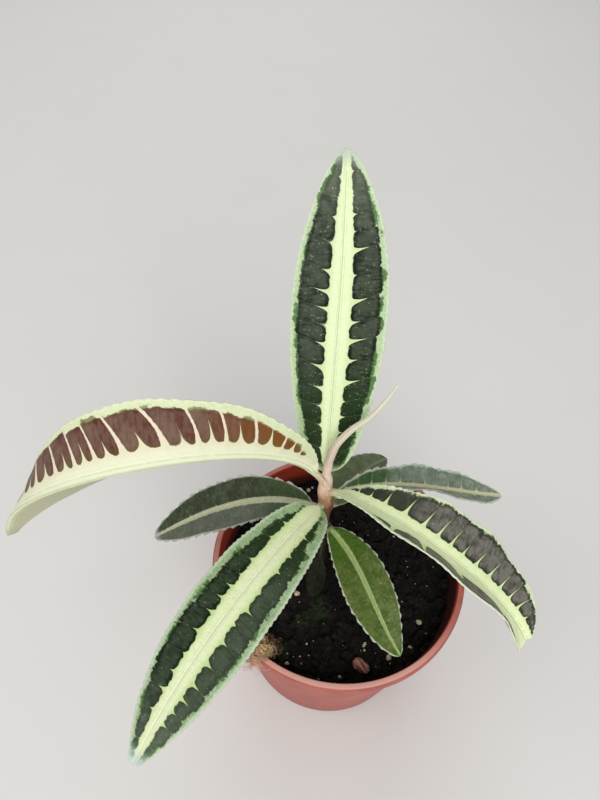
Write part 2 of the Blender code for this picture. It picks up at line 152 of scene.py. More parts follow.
def tubePoints(path, radii, angles, guide=(0.31, 0.88, 0.36)):
    # a ring round each point of a path: centre + radius * (cos a * side + sin a * normal)
    ahead = unit(np.gradient(path, axis=-2))
    side = unit(np.cross(ahead, np.array(guide)))
    normal = np.cross(ahead, side)
    ring = np.cos(angles)[..., None] * side[..., None, :] + np.sin(angles)[..., None] * normal[..., None, :]
    return path[..., None, :] + radii[..., None] * ring


def spread(points, count):
    # points along a smooth curve through the given ones, by cubic (Catmull-Rom) interpolation
    points = np.array(points, float)
    padded = np.vstack([2 * points[0] - points[1], points, 2 * points[-1] - points[-2]])
    places = np.linspace(0, len(points) - 1, count)
    index = np.minimum(places.astype(int), len(points) - 2)
    u = (places - index)[:, None]
    p0, p1, p2, p3 = (padded[index + k] for k in range(4))
    square, cube = 2 * p0 - 5 * p1 + 4 * p2 - p3, 3 * p1 - p0 - 3 * p2 + p3
    return 0.5 * (2 * p1 + (p2 - p0) * u + square * u**2 + cube * u**3)


def hashed(i, j, seed):
    # a number from 0 to 1 for each pair of whole numbers, the same each time
    i, j = np.asarray(i, np.int64), np.asarray(j, np.int64)
    mixed = (i * 374761393 + j * 668265263 + int(seed) * 1442695041) & 0xFFFFFFFF
    mixed = ((mixed ^ (mixed >> 13)) * 1274126177) & 0xFFFFFFFF
    return ((mixed ^ (mixed >> 16)) & 0xFFFFFF) / 0xFFFFFF


def smoothNoise(x, y, seed=0):
    # lattice noise from -1 to 1: hashed corners, blended with the curve 3u^2 - 2u^3
    i, j = np.floor(x), np.floor(y)
    u, v = x - i, y - j
    u, v = u * u * (3 - 2 * u), v * v * (3 - 2 * v)
    low = hashed(i, j, seed) * (1 - u) + hashed(i + 1, j, seed) * u
    high = hashed(i, j + 1, seed) * (1 - u) + hashed(i + 1, j + 1, seed) * u
    return 2 * (low * (1 - v) + high * v) - 1


def crumbs(x, y, cell, seed):
    # domes on a jittered lattice: the highest of sqrt(1 - (distance / radius)^2), each its own height
    i, j = np.floor(x / cell), np.floor(y / cell)
    highest = np.zeros_like(x)
    for a, b in ((i + di, j + dj) for di in (-1, 0, 1) for dj in (-1, 0, 1)):
        cx, cy = (a + hashed(a, b, seed)) * cell, (b + hashed(a, b, seed + 1)) * cell
        radius = cell * (0.3 + 0.45 * hashed(a, b, seed + 2))
        dome = np.sqrt(ramp(1 - ((x - cx) ** 2 + (y - cy) ** 2) / radius**2))
        highest = np.maximum(highest, dome * radius * (0.3 + 0.9 * hashed(a, b, seed + 3)))
    return highest


def paint(red, green, blue):
    # the linear colour that nodes take
    shares = np.array([red, green, blue]) / 255
    return (*np.where(shares <= 0.04045, shares / 12.92, ((shares + 0.055) / 1.055) ** 2.4), 1.0)


def put(tree, kind, feeds=(), **settings):
    # a new node; feeds gives its inputs wires, numbers or colours
    node = tree.nodes.new(kind)
    node.location = (len(tree.nodes) // 8 * 190 - 1600, -len(tree.nodes) % 8 * 170)
    for key, value in settings.items():
        setattr(node, key, value)
    for key, value in dict(feeds).items():
        if isinstance(value, Wire):
            tree.links.new(value.socket, node.inputs[key])
        else:
            node.inputs[key].default_value = paint(*value) if isinstance(value, tuple) else value
    return node


class Wire:
    # the output of a node; its methods place the next node and return that node's output
    def __init__(self, node, output=0):
        self.tree, self.socket = node.id_data, node.outputs[output]

    def put(self, kind, feeds, output=0, **settings):
        return Wire(put(self.tree, kind, feeds, **settings), output)

    def maths(self, operation, *others, **settings):
        return self.put("ShaderNodeMath", enumerate((self, *others)), operation=operation, **settings)

    def __rsub__(self, other):
        return self.put("ShaderNodeMath", {0: other, 1: self}, operation="SUBTRACT")

    def clamped(self):
        return self.maths("ADD", 0.0, use_clamp=True)

    def step(self, low, high):
        # from 0 at low to 1 at high, smooth at both ends
        feeds = {"Value": self, "From Min": low, "From Max": high}
        return self.put("ShaderNodeMapRange", feeds, interpolation_type="SMOOTHSTEP")

    def blend(self, first, second, mode="MIX"):
        # the first colour where this is 0, the second where it is 1
        feeds = {0: self, 6: first, 7: second}
        return self.put("ShaderNodeMix", feeds, 2, data_type="RGBA", blend_type=mode)

    def split(self):
        node = put(self.tree, "ShaderNodeSeparateXYZ", {0: self})
        return [Wire(node, axis) for axis in range(3)]

    def join(self, y, z):
        return self.put("ShaderNodeCombineXYZ", {0: self, 1: y, 2: z})

    def noise(self, scale, detail=2.0, roughness=0.5):
        feeds = {"Vector": self, "Scale": scale, "Detail": detail, "Roughness": roughness}
        return self.put("ShaderNodeTexNoise", feeds, "Fac")

    def cells(self, scale, output="Distance"):
        return self.put("ShaderNodeTexVoronoi", {"Vector": self, "Scale": scale}, output)

    def chance(self):
        # a number from 0 to 1 that depends only on the value
        return self.put("ShaderNodeTexWhiteNoise", {"W": self}, noise_dimensions="1D")


mathNodes = {
    "__add__": "ADD", "__radd__": "ADD", "__sub__": "SUBTRACT", "__mul__": "MULTIPLY", "__rmul__": "MULTIPLY",
    "__truediv__": "DIVIDE", "__pow__": "POWER", "__abs__": "ABSOLUTE", "least": "MINIMUM", "most": "MAXIMUM",
    "root": "SQRT", "exponent": "EXPONENT", "cosine": "COSINE", "rounded": "ROUND", "floored": "FLOOR",
}
for method, operation in mathNodes.items():
    setattr(Wire, method, lambda wire, *others, kind=operation: wire.maths(kind, *others))


def layers(colour, *coats):
    # coats over a colour, one after another, each as (share, colour)
    for share, coat in coats:
        colour = share.blend(colour, coat)
    return colour


def read(tree, name):
    # a vector attribute of the mesh
    return Wire(put(tree, "ShaderNodeAttribute", attribute_name=name), "Vector")


def ownPlace(tree):
    # the piece's own coordinates, in millimetres
    own = Wire(put(tree, "ShaderNodeTexCoord"), "Object")
    return own.put("ShaderNodeVectorMath", {0: own, "Scale": 1 / mm}, operation="SCALE")


def makeGroup(name, takes, gives, fill):
    # takes: input -> default number, colour, or None for a vector; gives: output -> socket type;
    # fill returns the outputs, made from the inputs
    tree = bpy.data.node_groups.new(name, "ShaderNodeTree")
    for label, value in takes.items():
        kind = "Vector" if value is None else "Color" if isinstance(value, tuple) else "Float"
        socket = tree.interface.new_socket(name=label, in_out="INPUT", socket_type="NodeSocket" + kind)
        if value is not None:
            socket.default_value = paint(*value) if isinstance(value, tuple) else value
    for label, kind in gives.items():
        tree.interface.new_socket(name=label, in_out="OUTPUT", socket_type="NodeSocket" + kind)
    inlet = put(tree, "NodeGroupInput")
    wires = SimpleNamespace(**{label: Wire(inlet, label) for label in takes})
    put(tree, "NodeGroupOutput", zip(gives, fill(wires)))


def useGroup(name, tree, feeds):
    node = put(tree, "ShaderNodeGroup", feeds, node_tree=bpy.data.node_groups[name])
    return [Wire(node, socket.name) for socket in node.outputs]


def grainPattern(i):
    # fine mottling of plant skin or plastic: two noises, one coarse and one fine, and scattered flecks
    tone, fine = i.place.noise(i.coarseScale, 3.0, 0.6), i.place.noise(i.fineScale, 3.0, 0.6)
    flecks = i.place.cells(i.fineScale).step(0.16, 0.05) * fine.step(0.62 - i.fleckShare, 0.66)
    return tone, fine, flecks


def grainOf(place, coarseScale, fineScale, fleckShare):
    feeds = dict(place=place, coarseScale=coarseScale, fineScale=fineScale, fleckShare=fleckShare)
    return useGroup("Grain", place.tree, feeds)


leafPatternTakes = dict(
    place=None, veins=None, zones=None,
    # the line colour is painted shade along the midrib's groove and ridges
    band=(230, 242, 192), line=(168, 184, 146), vein=(226, 236, 194), blotch=(32, 42, 29),
    # the second blotch colour is partly random mottle and partly painted sheen on the blotches
    secondBlotch=(68, 76, 64), baseBlotch=(34, 54, 24), smudge=(58, 92, 42), margin=(178, 202, 158),
    rim=(202, 212, 190), stalk=(208, 174, 152), tip=(196, 206, 192),
    spikeReach=4.0, spikeLeast=0.0, spikeWidth=0.075, spikeEnd=0.93, halfSpike=0.0, lobe=0.7, veinInside=0.0,
    veinOutside=0.0, faintVein=0.1, sideShade=0.0, core=0.25, endTint=0.0, roundness=6.0, ragged=0.7,
    marble=0.2, leftTint=0.0, dust=0.3, streaks=1.0, edgeLight=0.3, endHaze=0.0, smudgeWidth=0.8, wobble=0.6,
    rimWidth=0.3, tipStart=0.95, lineStrength=0.5, lineSpacing=0.75, fleckShare=0.1, pebble=0.4,
)


def leafPattern(i):
    # place holds the distance from the midrib, the distance from the foot and the half width; veins
    # holds the vein number, the share of the length and the side's seed; zones holds the half width
    # of the pale band, the width of the pale margin and the share of stalk
    across, along, half = i.place.split()
    vein, share, seed = i.veins.split()
    band, margin, stalk = i.zones.split()
    away, flat = abs(across), across.join(along, seed)
    wobble, ripple = flat.noise(0.9, 3.0, 0.6) - 0.5, flat.noise(0.28, 2.0, 0.5) - 0.5
    rough, patchy = flat.noise(1.3, 4.0, 0.7), flat.noise(0.13, 1.0)
    tone, fine, flecks = grainOf(flat, 0.35, 3.2, i.fleckShare)

    # the pale band's half width, with a spike on each vein and rounded corners between two of them
    number, cell = vein.rounded(), vein.floored()
    offVein, offHalf = abs(vein - number), abs(vein - cell - 0.5)    # 0 on a vein, and midway between two
    luck, cellLuck = (number + seed).chance(), (cell + seed + 0.37).chance()
    stray = (cell + seed + 0.71).chance()
    corner = 1 - offVein.least(offHalf + (1.0 - i.halfSpike) * 9.0) * 2.0
    arch = 1 - (1 - corner.clamped() ** i.roundness).root()
    reaching = i.spikeReach * (share.step(0.04, 0.34) * 0.85 + 0.15)
    reaching = reaching * share.step(i.spikeEnd, i.spikeEnd - 0.16)
    strength = i.spikeLeast + luck**0.9 * (1 - i.spikeLeast)
    spike = reaching * strength * (offVein / i.spikeWidth * -1.0).exponent()
    halfSpike = i.halfSpike * (cellLuck * 5.0 + 1.0) * (offHalf / i.spikeWidth * -1.3).exponent()
    lobelets = (vein * turn * 2.5).cosine() * 0.16
    inner = band + i.lobe * arch * (share.step(0.06, 0.35) * 0.6 + 0.4) + spike + halfSpike
    inner = inner + (wobble * 0.9 + lobelets + (cellLuck - 0.5) * 0.6) * i.wobble
    plainHalf = margin.step(15.0, 30.0)
    pale = away.step(inner + 0.16, inner - 0.16).most(plainHalf)

    # a vein that cuts the blotches all the way narrows from its inside to its outside width
    outwards = ((away - band) / (half - band - margin + 0.01)).clamped()
    veinHalf = i.veinInside * (1 - outwards) ** 3.5 * (share.step(0.22, 0.45) * 0.7 + 0.3)
    veinHalf = veinHalf + i.veinOutside * (1 + wobble * 1.6)
    veinCut = offVein.step(veinHalf + 0.012, veinHalf - 0.012) * veinHalf.step(0.002, 0.01)

    # where the blotches end towards the edge, and the green that smudges them there
    outer = half - margin - i.wobble * (wobble * 2.4 + ripple * 2.2 + (stray - 0.5) * 1.7 + arch * 0.8)
    foot = share.step(0.0, 0.035)
    dark = (away + (rough - 0.5) * i.ragged).step(outer + 0.15, outer - 0.25) * foot
    greenWidth = i.smudgeWidth * (patchy * 6.0 - 3.0).clamped()
    green = (away + wobble * 0.8).step(outer + greenWidth + 0.2, outer + greenWidth - 0.2) * foot
    green = green * greenWidth.step(0.05, 0.3)

    # a blotch is greyer in its middle, as painted sheen, dark at its edges, and green in places along its
    # outer edge
    streak = (across * 0.9 + along * 0.5).join(along * 3.0, seed).noise(0.4, 2.0, 0.55)
    core = (away - inner).least(outer - away).step(0.1, 1.8) * (offVein.step(0.04, 0.2) * 0.3 + 0.7)
    mottleAndSheen = (rough - 0.5) * 0.5 + (streak - 0.5) * i.streaks + ripple * 1.3 + (core - 0.6) * 2 * i.core
    mottleAndSheen, side = mottleAndSheen.step(-0.3, 0.45), (vein - cell).step(0.3, 0.7)
    # painted sheen: the tip side of each cell takes more of the lighter blotch colour, with some random tone
    # for each cell
    mottleAndSheen = mottleAndSheen + i.sideShade * (side * 0.6 + cellLuck * 0.3 + mottleAndSheen * 0.3 - mottleAndSheen)
    faint = (offVein + wobble * 0.05).step(0.05, 0.0) * i.faintVein * (luck * 0.7 + 0.3)
    endTint = (away - inner).step(2.4, 0.0).most(share.step(0.2, 0.12) * 1.8)
    # pale specks on the blotches
    dust = flat.cells(1.3).step(0.3, 0.12) * streak.step(0.5, 0.62) * i.dust
    edge = layers(
        # blotch colour: random mottle mixed with painted sheen
        mottleAndSheen.clamped().blend(i.blotch, i.secondBlotch),
        # painted sheen: the left half lighter, towards the rim colour
        (across.step(0.0, 0.6) * i.leftTint, i.rim),
        ((share + ripple * 0.1).step(0.42, 0.2), i.baseBlotch),
        # painted sheen: the blotches lighter towards the tip
        ((share + ripple * 0.15).step(0.72, 0.95) * i.endHaze, i.rim),
        (faint.clamped(), i.margin),
        ((endTint * i.endTint).clamped(), i.smudge),
        (away.step(outer - 1.0, outer + 0.1) * (0.08 + 0.7 * patchy.step(0.5, 0.6)), i.smudge))
    speck = (flecks * 0.5 + dust).clamped().blend(edge, i.rim)

    # the margin: pale and knobbly, lighter at its edge
    rays = (away * 0.5).join(along * 1.6, seed).noise(1.0, 3.0, 0.7)
    knobbly = rough.step(0.38, 0.68) * 0.35 + rays.step(0.38, 0.64) * 0.3
    outerEdge = (away + (rough - 0.5) * 0.8).step(half - 1.3, half - 0.3) * i.edgeLight
    veinTone = away.step(band * 0.3, band + 2.0).blend(i.band, i.vein)
    field = layers(
        (knobbly + outerEdge).clamped().blend(i.margin, i.rim),
        (rough.step(0.5, 0.28) * i.marble, i.smudge),
        (green * 0.8, (rough.step(0.4, 0.6) * 0.6).blend(i.smudge, edge)),
        (dark, speck),
        (veinCut * away.step(half, outer - 0.6), veinTone))

    # the band: fine dark lines along its middle, which are painted shade of the midrib's groove and ridges,
    # and faint ribs
    lines = (away * math.pi / i.lineSpacing).cosine() ** 2.0
    centre = lines**5.0 * away.step(i.lineSpacing * 2.6, 0.0) * tone.step(0.3, 0.55)
    ribbed = (away * 0.35).join(along - away * 0.3, seed).noise(2.2, 2.0, 0.6)
    bandTone = layers(
        veinTone,
        (ribbed.step(0.4, 0.7) * 0.16, i.margin),
        (away.step(band - 1.4, band + 0.3) * 0.22, i.margin),
        ((centre * i.lineStrength).clamped(), i.line))

    fromEdge = half - away + wobble * 0.35
    tip = (share + wobble * 0.02).step(i.tipStart, 1.0 - (1.0 - i.tipStart) * 0.25)
    pebbles = flat.cells(0.85)
    colour = layers(
        field,
        (pale, bandTone),
        # painted shade: the half without patches turns towards the duller tip colour
        (plainHalf * away.step(0.0, 2.5) * 0.8, i.tip),
        (fromEdge.step(i.rimWidth * 1.6, i.rimWidth * 0.4) * 0.85, i.rim),
        (tip * 0.85, i.tip),
        (stalk.clamped(), i.stalk))
    colour = (pebbles.step(0.25, 0.75) * i.pebble * 0.35).blend(colour, (0, 0, 0), "SOFT_LIGHT")
    shown = dark * (1 - pale) * (1 - tip)
    return colour, shown, fine * 0.25 + shown * 0.15 - pebbles * i.pebble + rough * 0.5


makeGroup("Grain", dict(place=None, coarseScale=0.35, fineScale=2.5, fleckShare=0.1),
          dict(tone="Float", fine="Float", flecks="Float"), grainPattern)
makeGroup("Leaf pattern", leafPatternTakes, dict(color="Color", blotch="Float", height="Float"), leafPattern)
print("shared effects ready")


def newMaterial(name, shine, depth, look):
    # look gives colour, roughness and the bumps' height; depth is the height of the bumps
    material = bpy.data.materials.new(name)
    material.use_nodes = True
    tree = material.node_tree
    shader = tree.nodes["Principled BSDF"]
    shader.inputs["Specular IOR Level"].default_value = shine
    colour, roughness, height = look(tree)
    bump = Wire(put(tree, "ShaderNodeBump", {"Height": height, "Distance": depth * mm, "Strength": 1.0}))
    for label, wire in (("Base Color", colour), ("Roughness", roughness), ("Normal", bump)):
        tree.links.new(wire.socket, shader.inputs[label])
    return material


def leafMaterial(name, tones, shine=0.25, paleRoughness=0.5, blotchRoughness=0.4):
    def look(tree):
        fields = {key: read(tree, "leaf" + key.capitalize()) for key in ("place", "veins", "zones")}
        colour, blotch, height = useGroup("Leaf pattern", tree, {**fields, **tones})
        return colour, paleRoughness + blotch * (blotchRoughness - paleRoughness), height

    return newMaterial(name, shine, 0.16, look)


stem = dict(
    foot=46, top=119.4, atSoil=(-7.0, -3.0), lean=(-0.02, 0.24), soilTop=65, rows=240, sides=56,
    radii=((46, 1.3), (60, 1.5), (82, 1.5), (94, 1.9), (102, 2.3), (112, 2.5), (117, 2.4), (118.6, 1.9),
           (119.4, 1.4)),    # height, radius
    scars=(72, 78, 84, 89, 94), swell=0.35, sheathOver=0.3, voxel=0.26, smoothing=9,
    bud=((-6.2, 7.2, 106.6), (-4.7, 6.0, 108.9)), budRadius=1.5,
)


def stemCentre(height):
    rise = np.asarray(height, float) - stem["soilTop"]
    x, y = stem["atSoil"]
    return vectors(x + stem["lean"][0] * rise, y + stem["lean"][1] * rise, rise + stem["soilTop"])


def through(values, t):
    # the parabola through the values at the base, the middle and the tip
    base, middle, tip = np.broadcast_to(values, 3)
    return base * (1 - t) * (1 - 2 * t) + middle * 4 * t * (1 - t) + tip * t * (2 * t - 1)


def leafFrame(leaf, t):
    # direction of the midrib, upward normal and left side of the blade at shares t of the length
    rise, heading, roll = (np.radians(through(leaf[key], t)) for key in ("rise", "heading", "roll"))
    roll = roll + math.radians(leaf["tipTwist"]) * ramp((t - 0.68) / 0.3) ** 1.5
    ahead = vectors(np.cos(rise) * np.cos(heading), np.cos(rise) * np.sin(heading), np.sin(rise))
    up = vectors(-np.sin(rise) * np.cos(heading), -np.sin(rise) * np.sin(heading), np.cos(rise))
    left = vectors(-np.sin(heading), np.cos(heading), 0)
    cosine, sine = np.cos(roll)[..., None], np.sin(roll)[..., None]
    return ahead, cosine * up - sine * left, sine * up + cosine * left


def midrib(leaf, t):
    # short steps along the midrib's direction, added up from the middle of the stem
    fine = np.linspace(0, 1, 241)
    ahead, _, _ = leafFrame(leaf, (fine[1:] + fine[:-1]) / 2)
    steps = np.cumsum(ahead * leaf["length"] / 240, axis=0)
    path = np.vstack([np.zeros(3), steps]) + stemCentre(leaf["height"])
    return vectors(*(np.interp(t, fine, path[:, axis]) for axis in range(3)))


def halfWidth(leaf, t):
    # a power of a sine arch, joined to the stalk, with a rounded tip
    along = ramp((t / leaf["end"] - leaf["stalk"]) / (1 - leaf["stalk"])) ** leaf["skew"] * 0.99
    foot, tip = leaf["fullness"]
    blade = leaf["width"] / 2 * np.sin(math.pi * along) ** (foot + (tip - foot) * along)
    stalk = leaf["stalkHalf"] * ramp(1 - 2 * along) * (1 + 0.35 * bell(t * leaf["length"] / 3.2))
    blunt = leaf["bluntTip"] * ramp(along / 0.99 * 5 - 4)
    past = ramp(1 - (leaf["end"] - t) * leaf["length"] / leaf["endRounding"])
    return (blade**4 + stalk**4 + blunt**4) ** 0.25 * np.sqrt(1 - 0.985 * past**2), along


def stalkThickness(leaf, distance):
    return leaf["petiole"] * (1 + leaf["flare"] * bell(distance / 3.5))


def veinNumber(leaf, across, along):
    # (distance along - slant * distance out - bend * distance out squared) / spacing, with a slow wander
    out, seed = np.abs(across), leaf["seed"] + 5.0 * (across > 0)
    wander = leaf["wander"] * (np.sin(along / 5.3 + seed) + np.sin(along / 9.1 + 2 * seed))
    slant = through(leaf["slant"], along / leaf["length"])
    spacing = leaf["spacing"] * np.where(across < 0, leaf["farSpacing"], 1)
    return (along - slant * out - leaf["bend"] * out**2) / spacing + wander + 0.45 * (across > 0)


def leafMesh(name, leaf):
    # rows run from foot to tip and columns from the right edge to the left edge, on two faces
    rows, columns = leaf["grid"]
    t = np.linspace(leaf["start"], leaf["end"], rows)[:, None] * np.ones(columns)
    a = np.linspace(-1, 1, columns) * np.ones((rows, 1))
    _, up, left = leafFrame(leaf, t)
    half, along = halfWidth(leaf, t)
    half = half * (1 + leaf["farTip"] * ramp(5 * along - 4) * (a < 0))
    arch, size, teeth, seed = np.sin(math.pi * along), np.abs(a), leaf["teeth"], leaf["seed"]

    # crenate edge: each tooth is an arch, sin(pi u^1.5), that leans to the tip and ends in a sharp notch
    place = teeth * t + 0.25 * smoothNoise(t * teeth * 0.4, seed + 9.0 * (a > 0))
    u = place - np.floor(place)
    lobes = np.sin(math.pi * u**1.5) * 1.6 - 1
    lobes = lobes + leaf["saw"] * (np.minimum(u * 1.25, (1 - u) * 5) * 2 - 1 - lobes)
    fine = np.abs(np.cos(math.pi * teeth * 2.3 * t + 0.8)) - 0.6
    strength = 0.75 + 0.35 * smoothNoise(t * teeth * 0.8, 7.0 + np.sign(a), 3)
    tooth = leaf["tooth"] * (lobes * strength + 0.4 * fine) * ramp(arch * 2.5)
    reach = half * size + tooth * ramp((size * half - half + 1.8) / 1.8) ** 1.5

    cupRight, cupLeft = (through(angles, t) for angles in leaf["cup"][::-1])
    cup = np.radians(np.where(a > 0, cupLeft, cupRight) * ramp(along / 0.06) ** 2)
    wave = leaf["wave"] * size**3 * np.sin(turn * leaf["waves"] * t + (a > 0)) * arch
    across, distance = np.sign(a) * reach, t * leaf["length"]
    number = veinNumber(leaf, across, distance)

    # the blade swells between its veins, and is pinched along the midrib
    window = ramp((reach - 1.0) / 3.0) * ramp((half - reach) / 2.0) * ramp(arch * 2)
    swell = leaf["quilt"] * (0.5 - np.abs(np.cos(math.pi * number)) ** 3) * window
    buckle = 0.25 * smoothNoise(distance / 9, across / 7 + 31, seed) * size * arch
    middle = midrib(leaf, t) + (across * np.cos(cup))[..., None] * left
    middle = middle + (reach * np.sin(cup) + wave + swell + buckle)[..., None] * up
    normal = unit(np.cross(np.gradient(middle, axis=0), np.gradient(middle, axis=1)))

    # thickness: an oval stalk that flattens into a thin blade, thicker along the midrib
    stalk = ramp(1 - along / 0.12)
    blade = 0.42 + 0.5 * (1 - t) * bell(reach / 1.6)
    thick = blade + (stalkThickness(leaf, distance) * np.sqrt(ramp(1 - size**2)) - blade) * stalk
    thick = np.maximum(thick * np.clip((1.02 - size) * half / 0.35, 0.25, 1), 0.1)
    ribs = bell(reach / 0.9) * (1 - 0.7 * t) * (1 - stalk)
    groove = 0.22 * bell(reach / 0.35) * (1 - 0.5 * t) * (1 - stalk)
    ridges = leaf["ridges"] * (1 - np.cos(turn * reach / 1.35)) * bell(reach / 3.0) * ramp(1.1 - t)
    veins = leaf["veinRelief"] * bell((number - np.round(number)) * leaf["spacing"] / 0.45) * window
    top = middle + normal * (thick / 2 - groove - veins * 0.6)[..., None]
    under = middle - normal * (thick / 2 + leaf["keel"] * ribs + ridges + veins)[..., None]

    count, border = rows * columns, gridBorder(rows, columns)
    after = np.roll(border, -1)
    faceSets = [gridFaces(rows, columns), gridFaces(rows, columns, flip=True, first=count),
                np.stack([border, border + count, after + count, after], -1)]
    mesh = meshFrom(name, [top, under], faceSets)
    which = np.repeat([0, 1, 0], [len(faces) for faces in faceSets]).astype(np.int32)
    mesh.polygons.foreach_set("material_index", which)

    # a half that turns away has thin blotches, and none near the tip
    fewer = 0.6 + 0.8 * np.abs(2 * along - 1) ** 1.5 + 2 * ramp(5 * along - 3.9)
    fewer = fewer + 0.22 * smoothNoise(distance / 6, across / 0.7, 21)
    band = through(leaf["band"], along) * ramp(along / 0.05) ** 0.5 + leaf["farHalf"] * fewer * (a < 0)
    near, far = leaf["stalkTint"]
    zones = vectors(band, through(leaf["margin"], along), ramp((far - distance) / (far - near)))
    hidden = 60.0 * (np.sign(a) == leaf["plainHalf"]) * abs(leaf["plainHalf"])
    places, veinData = vectors(across, distance, half), vectors(number, along, seed * 7 + 40.0 * (a > 0))
    addVectors(mesh, "leafPlace", [places, places])
    addVectors(mesh, "leafVeins", [veinData, veinData])
    addVectors(mesh, "leafZones", [zones, zones + vectors(0, hidden, 0)])
    return mesh


creamUnder = dict(  # the underside of a patterned leaf: maroon patches between cream veins
    # the line colour is painted shade of the midrib's ridges, the second patch colour is partly painted
    # sheen, and the tip colour is also painted shade on the half without patches
    band=(234, 238, 206), line=(178, 182, 134), vein=(232, 220, 194), blotch=(82, 28, 14),
    secondBlotch=(118, 90, 74), baseBlotch=(124, 72, 10), smudge=(104, 100, 48), margin=(214, 224, 176),
    rim=(230, 236, 204), stalk=(226, 196, 172), tip=(180, 182, 150),
    spikeReach=1.0, halfSpike=1.0, veinInside=0.09, veinOutside=0.04, streaks=1.8, lobe=2.4, roundness=2.5,
    smudgeWidth=0.9, rimWidth=0.2, marble=0.08, dust=0.0, tipStart=0.93, lineStrength=0.6, lineSpacing=1.35,
    spikeWidth=0.05, wobble=0.55, fleckShare=0.04, pebble=0.2, sideShade=0.6, faintVein=0.0, spikeEnd=1.1,
    endTint=0.4,
)
plainUnder = dict(
    # the line colour is painted shade along the midrib
    band=(186, 176, 150), line=(150, 142, 112), vein=(140, 146, 116), blotch=(116, 124, 100),
    secondBlotch=(124, 104, 92), baseBlotch=(118, 124, 92), smudge=(118, 130, 92), margin=(140, 152, 120),
    rim=(170, 176, 155), stalk=(178, 158, 130), tip=(168, 172, 150),
    spikeReach=1.6, lobe=0.3, smudgeWidth=0.3, rimWidth=0.25, spikeWidth=0.05, wobble=0.2, fleckShare=0.03,
    core=0.0,
)

# Three numbers are values at the base, the middle and the tip, and angles are in degrees. plainHalf is
# the half whose underside has no patches, -1 right or 1 left; far... is for a right half that turns away.
patternedLeaf = dict(
    slot="patterned_leaf", under=creamUnder, grid=(300, 81), start=0.012, end=1, endRounding=1.6, stalk=0.07,
    stalkHalf=1.6, petiole=1.9, flare=0.35, keel=0.35, ridges=0.05, bluntTip=0, tipTwist=0, farTip=0,
    farHalf=0, farSpacing=1, plainHalf=0, saw=0, wander=0.15, bend=0.004, shine=0.25,
)
plainLeaf = dict(
    patternedLeaf, slot="plain_leaf", under=plainUnder, grid=(220, 61), stalkTint=(2.6, 5), slant=0.35,
    bend=0.01,
)
plainFace = dict(core=0.0, spikeWidth=0.03)

backLeaf = dict(
    patternedLeaf, node="leaf_back", sheath=6.5, seed=1.0, stalkTint=(2.8, 5.5), shine=0.14,
    height=111, length=116.5, width=32.2, fullness=(0.36, 0.68), skew=1.03, bluntTip=0.8,
    heading=(91, 90, 96), rise=(58, 60, 54), roll=(-3, -2, 2), cup=((10, 7, 8), (12, 9, 6)),
    teeth=41, tooth=0.3, waves=5, wave=0.5, spacing=6.9, slant=0.28, quilt=0.18, veinRelief=0.05,
    band=(1.9, 3.9, 0.8), margin=(1.8, 2.2, 1.4),
    face=dict(
        # painted sheen: the second blotch colour, the end haze and the core
        band=(238, 249, 204), vein=(228, 242, 188), blotch=(10, 20, 7), secondBlotch=(68, 77, 60),
        smudge=(48, 94, 30), margin=(180, 206, 154), rim=(212, 226, 196), spikeReach=5.5, spikeEnd=0.86,
        spikeLeast=0.12, endHaze=0.13, tipStart=0.93, smudgeWidth=1.3, edgeLight=0.6, lineStrength=0.7,
        fleckShare=0.15, dust=0.45, core=0.35),
)
leftLeaf = dict(
    patternedLeaf, node="leaf_left", sheath=10, grid=(360, 97), seed=2.0, stalkTint=(7, 19), plainHalf=-1,
    height=113.5, length=153, width=38.8, stalk=0.09, fullness=(0.92, 0.68), skew=0.93, bluntTip=3.2,
    heading=(216, 196, 157), rise=(74, 0, -76), roll=(15, 87, 130), cup=((30, 44, 59), (20, 40, 87)),
    teeth=52, tooth=0.3, waves=6, wave=0.4, spacing=8.6, slant=0, bend=0.015, quilt=0.3, veinRelief=0.1,
    ridges=0.2, wander=0.12, band=(3.2, 4.9, 1.9), margin=(3.4, 2.4, 1.1), face=dict(spikeReach=5.5),
)
frontLeftLeaf = dict(
    patternedLeaf, node="leaf_front_left", sheath=4.2, seed=3.0, stalkTint=(3.0, 4.5), shine=0.14,
    height=105.5, length=108.5, width=27, start=0.033, stalkHalf=1.3, flare=0.1, stalk=0.055,
    fullness=(0.38, 0.72), skew=0.99, bluntTip=2.5,
    heading=(242, 236, 242), rise=(36, -10, -32), roll=(-9, -1, -1), cup=((11, 2, 7), (15, 2, 8)),
    teeth=50, tooth=0.26, waves=6, wave=0.5, spacing=6.2, slant=0.1, quilt=0.15, veinRelief=0.05,
    wander=0.26, band=(3.1, 3.9, 0.9), margin=(3.6, 2.5, 1.1),
    face=dict(
        # painted sheen: the second blotch colour, the core, the left tint and the end haze; the line colour
        # is painted shade
        band=(232, 240, 198), vein=(204, 226, 146), blotch=(14, 28, 6), secondBlotch=(52, 66, 46),
        tip=(198, 210, 204), line=(186, 194, 166), margin=(140, 168, 116), rim=(190, 206, 178),
        spikeReach=3.4, tipStart=0.93, lineSpacing=0.9, lobe=0.4, wobble=0.9, marble=0.1, edgeLight=0.9,
        rimWidth=0.4, smudgeWidth=1.2, core=0.35, leftTint=0.06, endHaze=0.12),
)
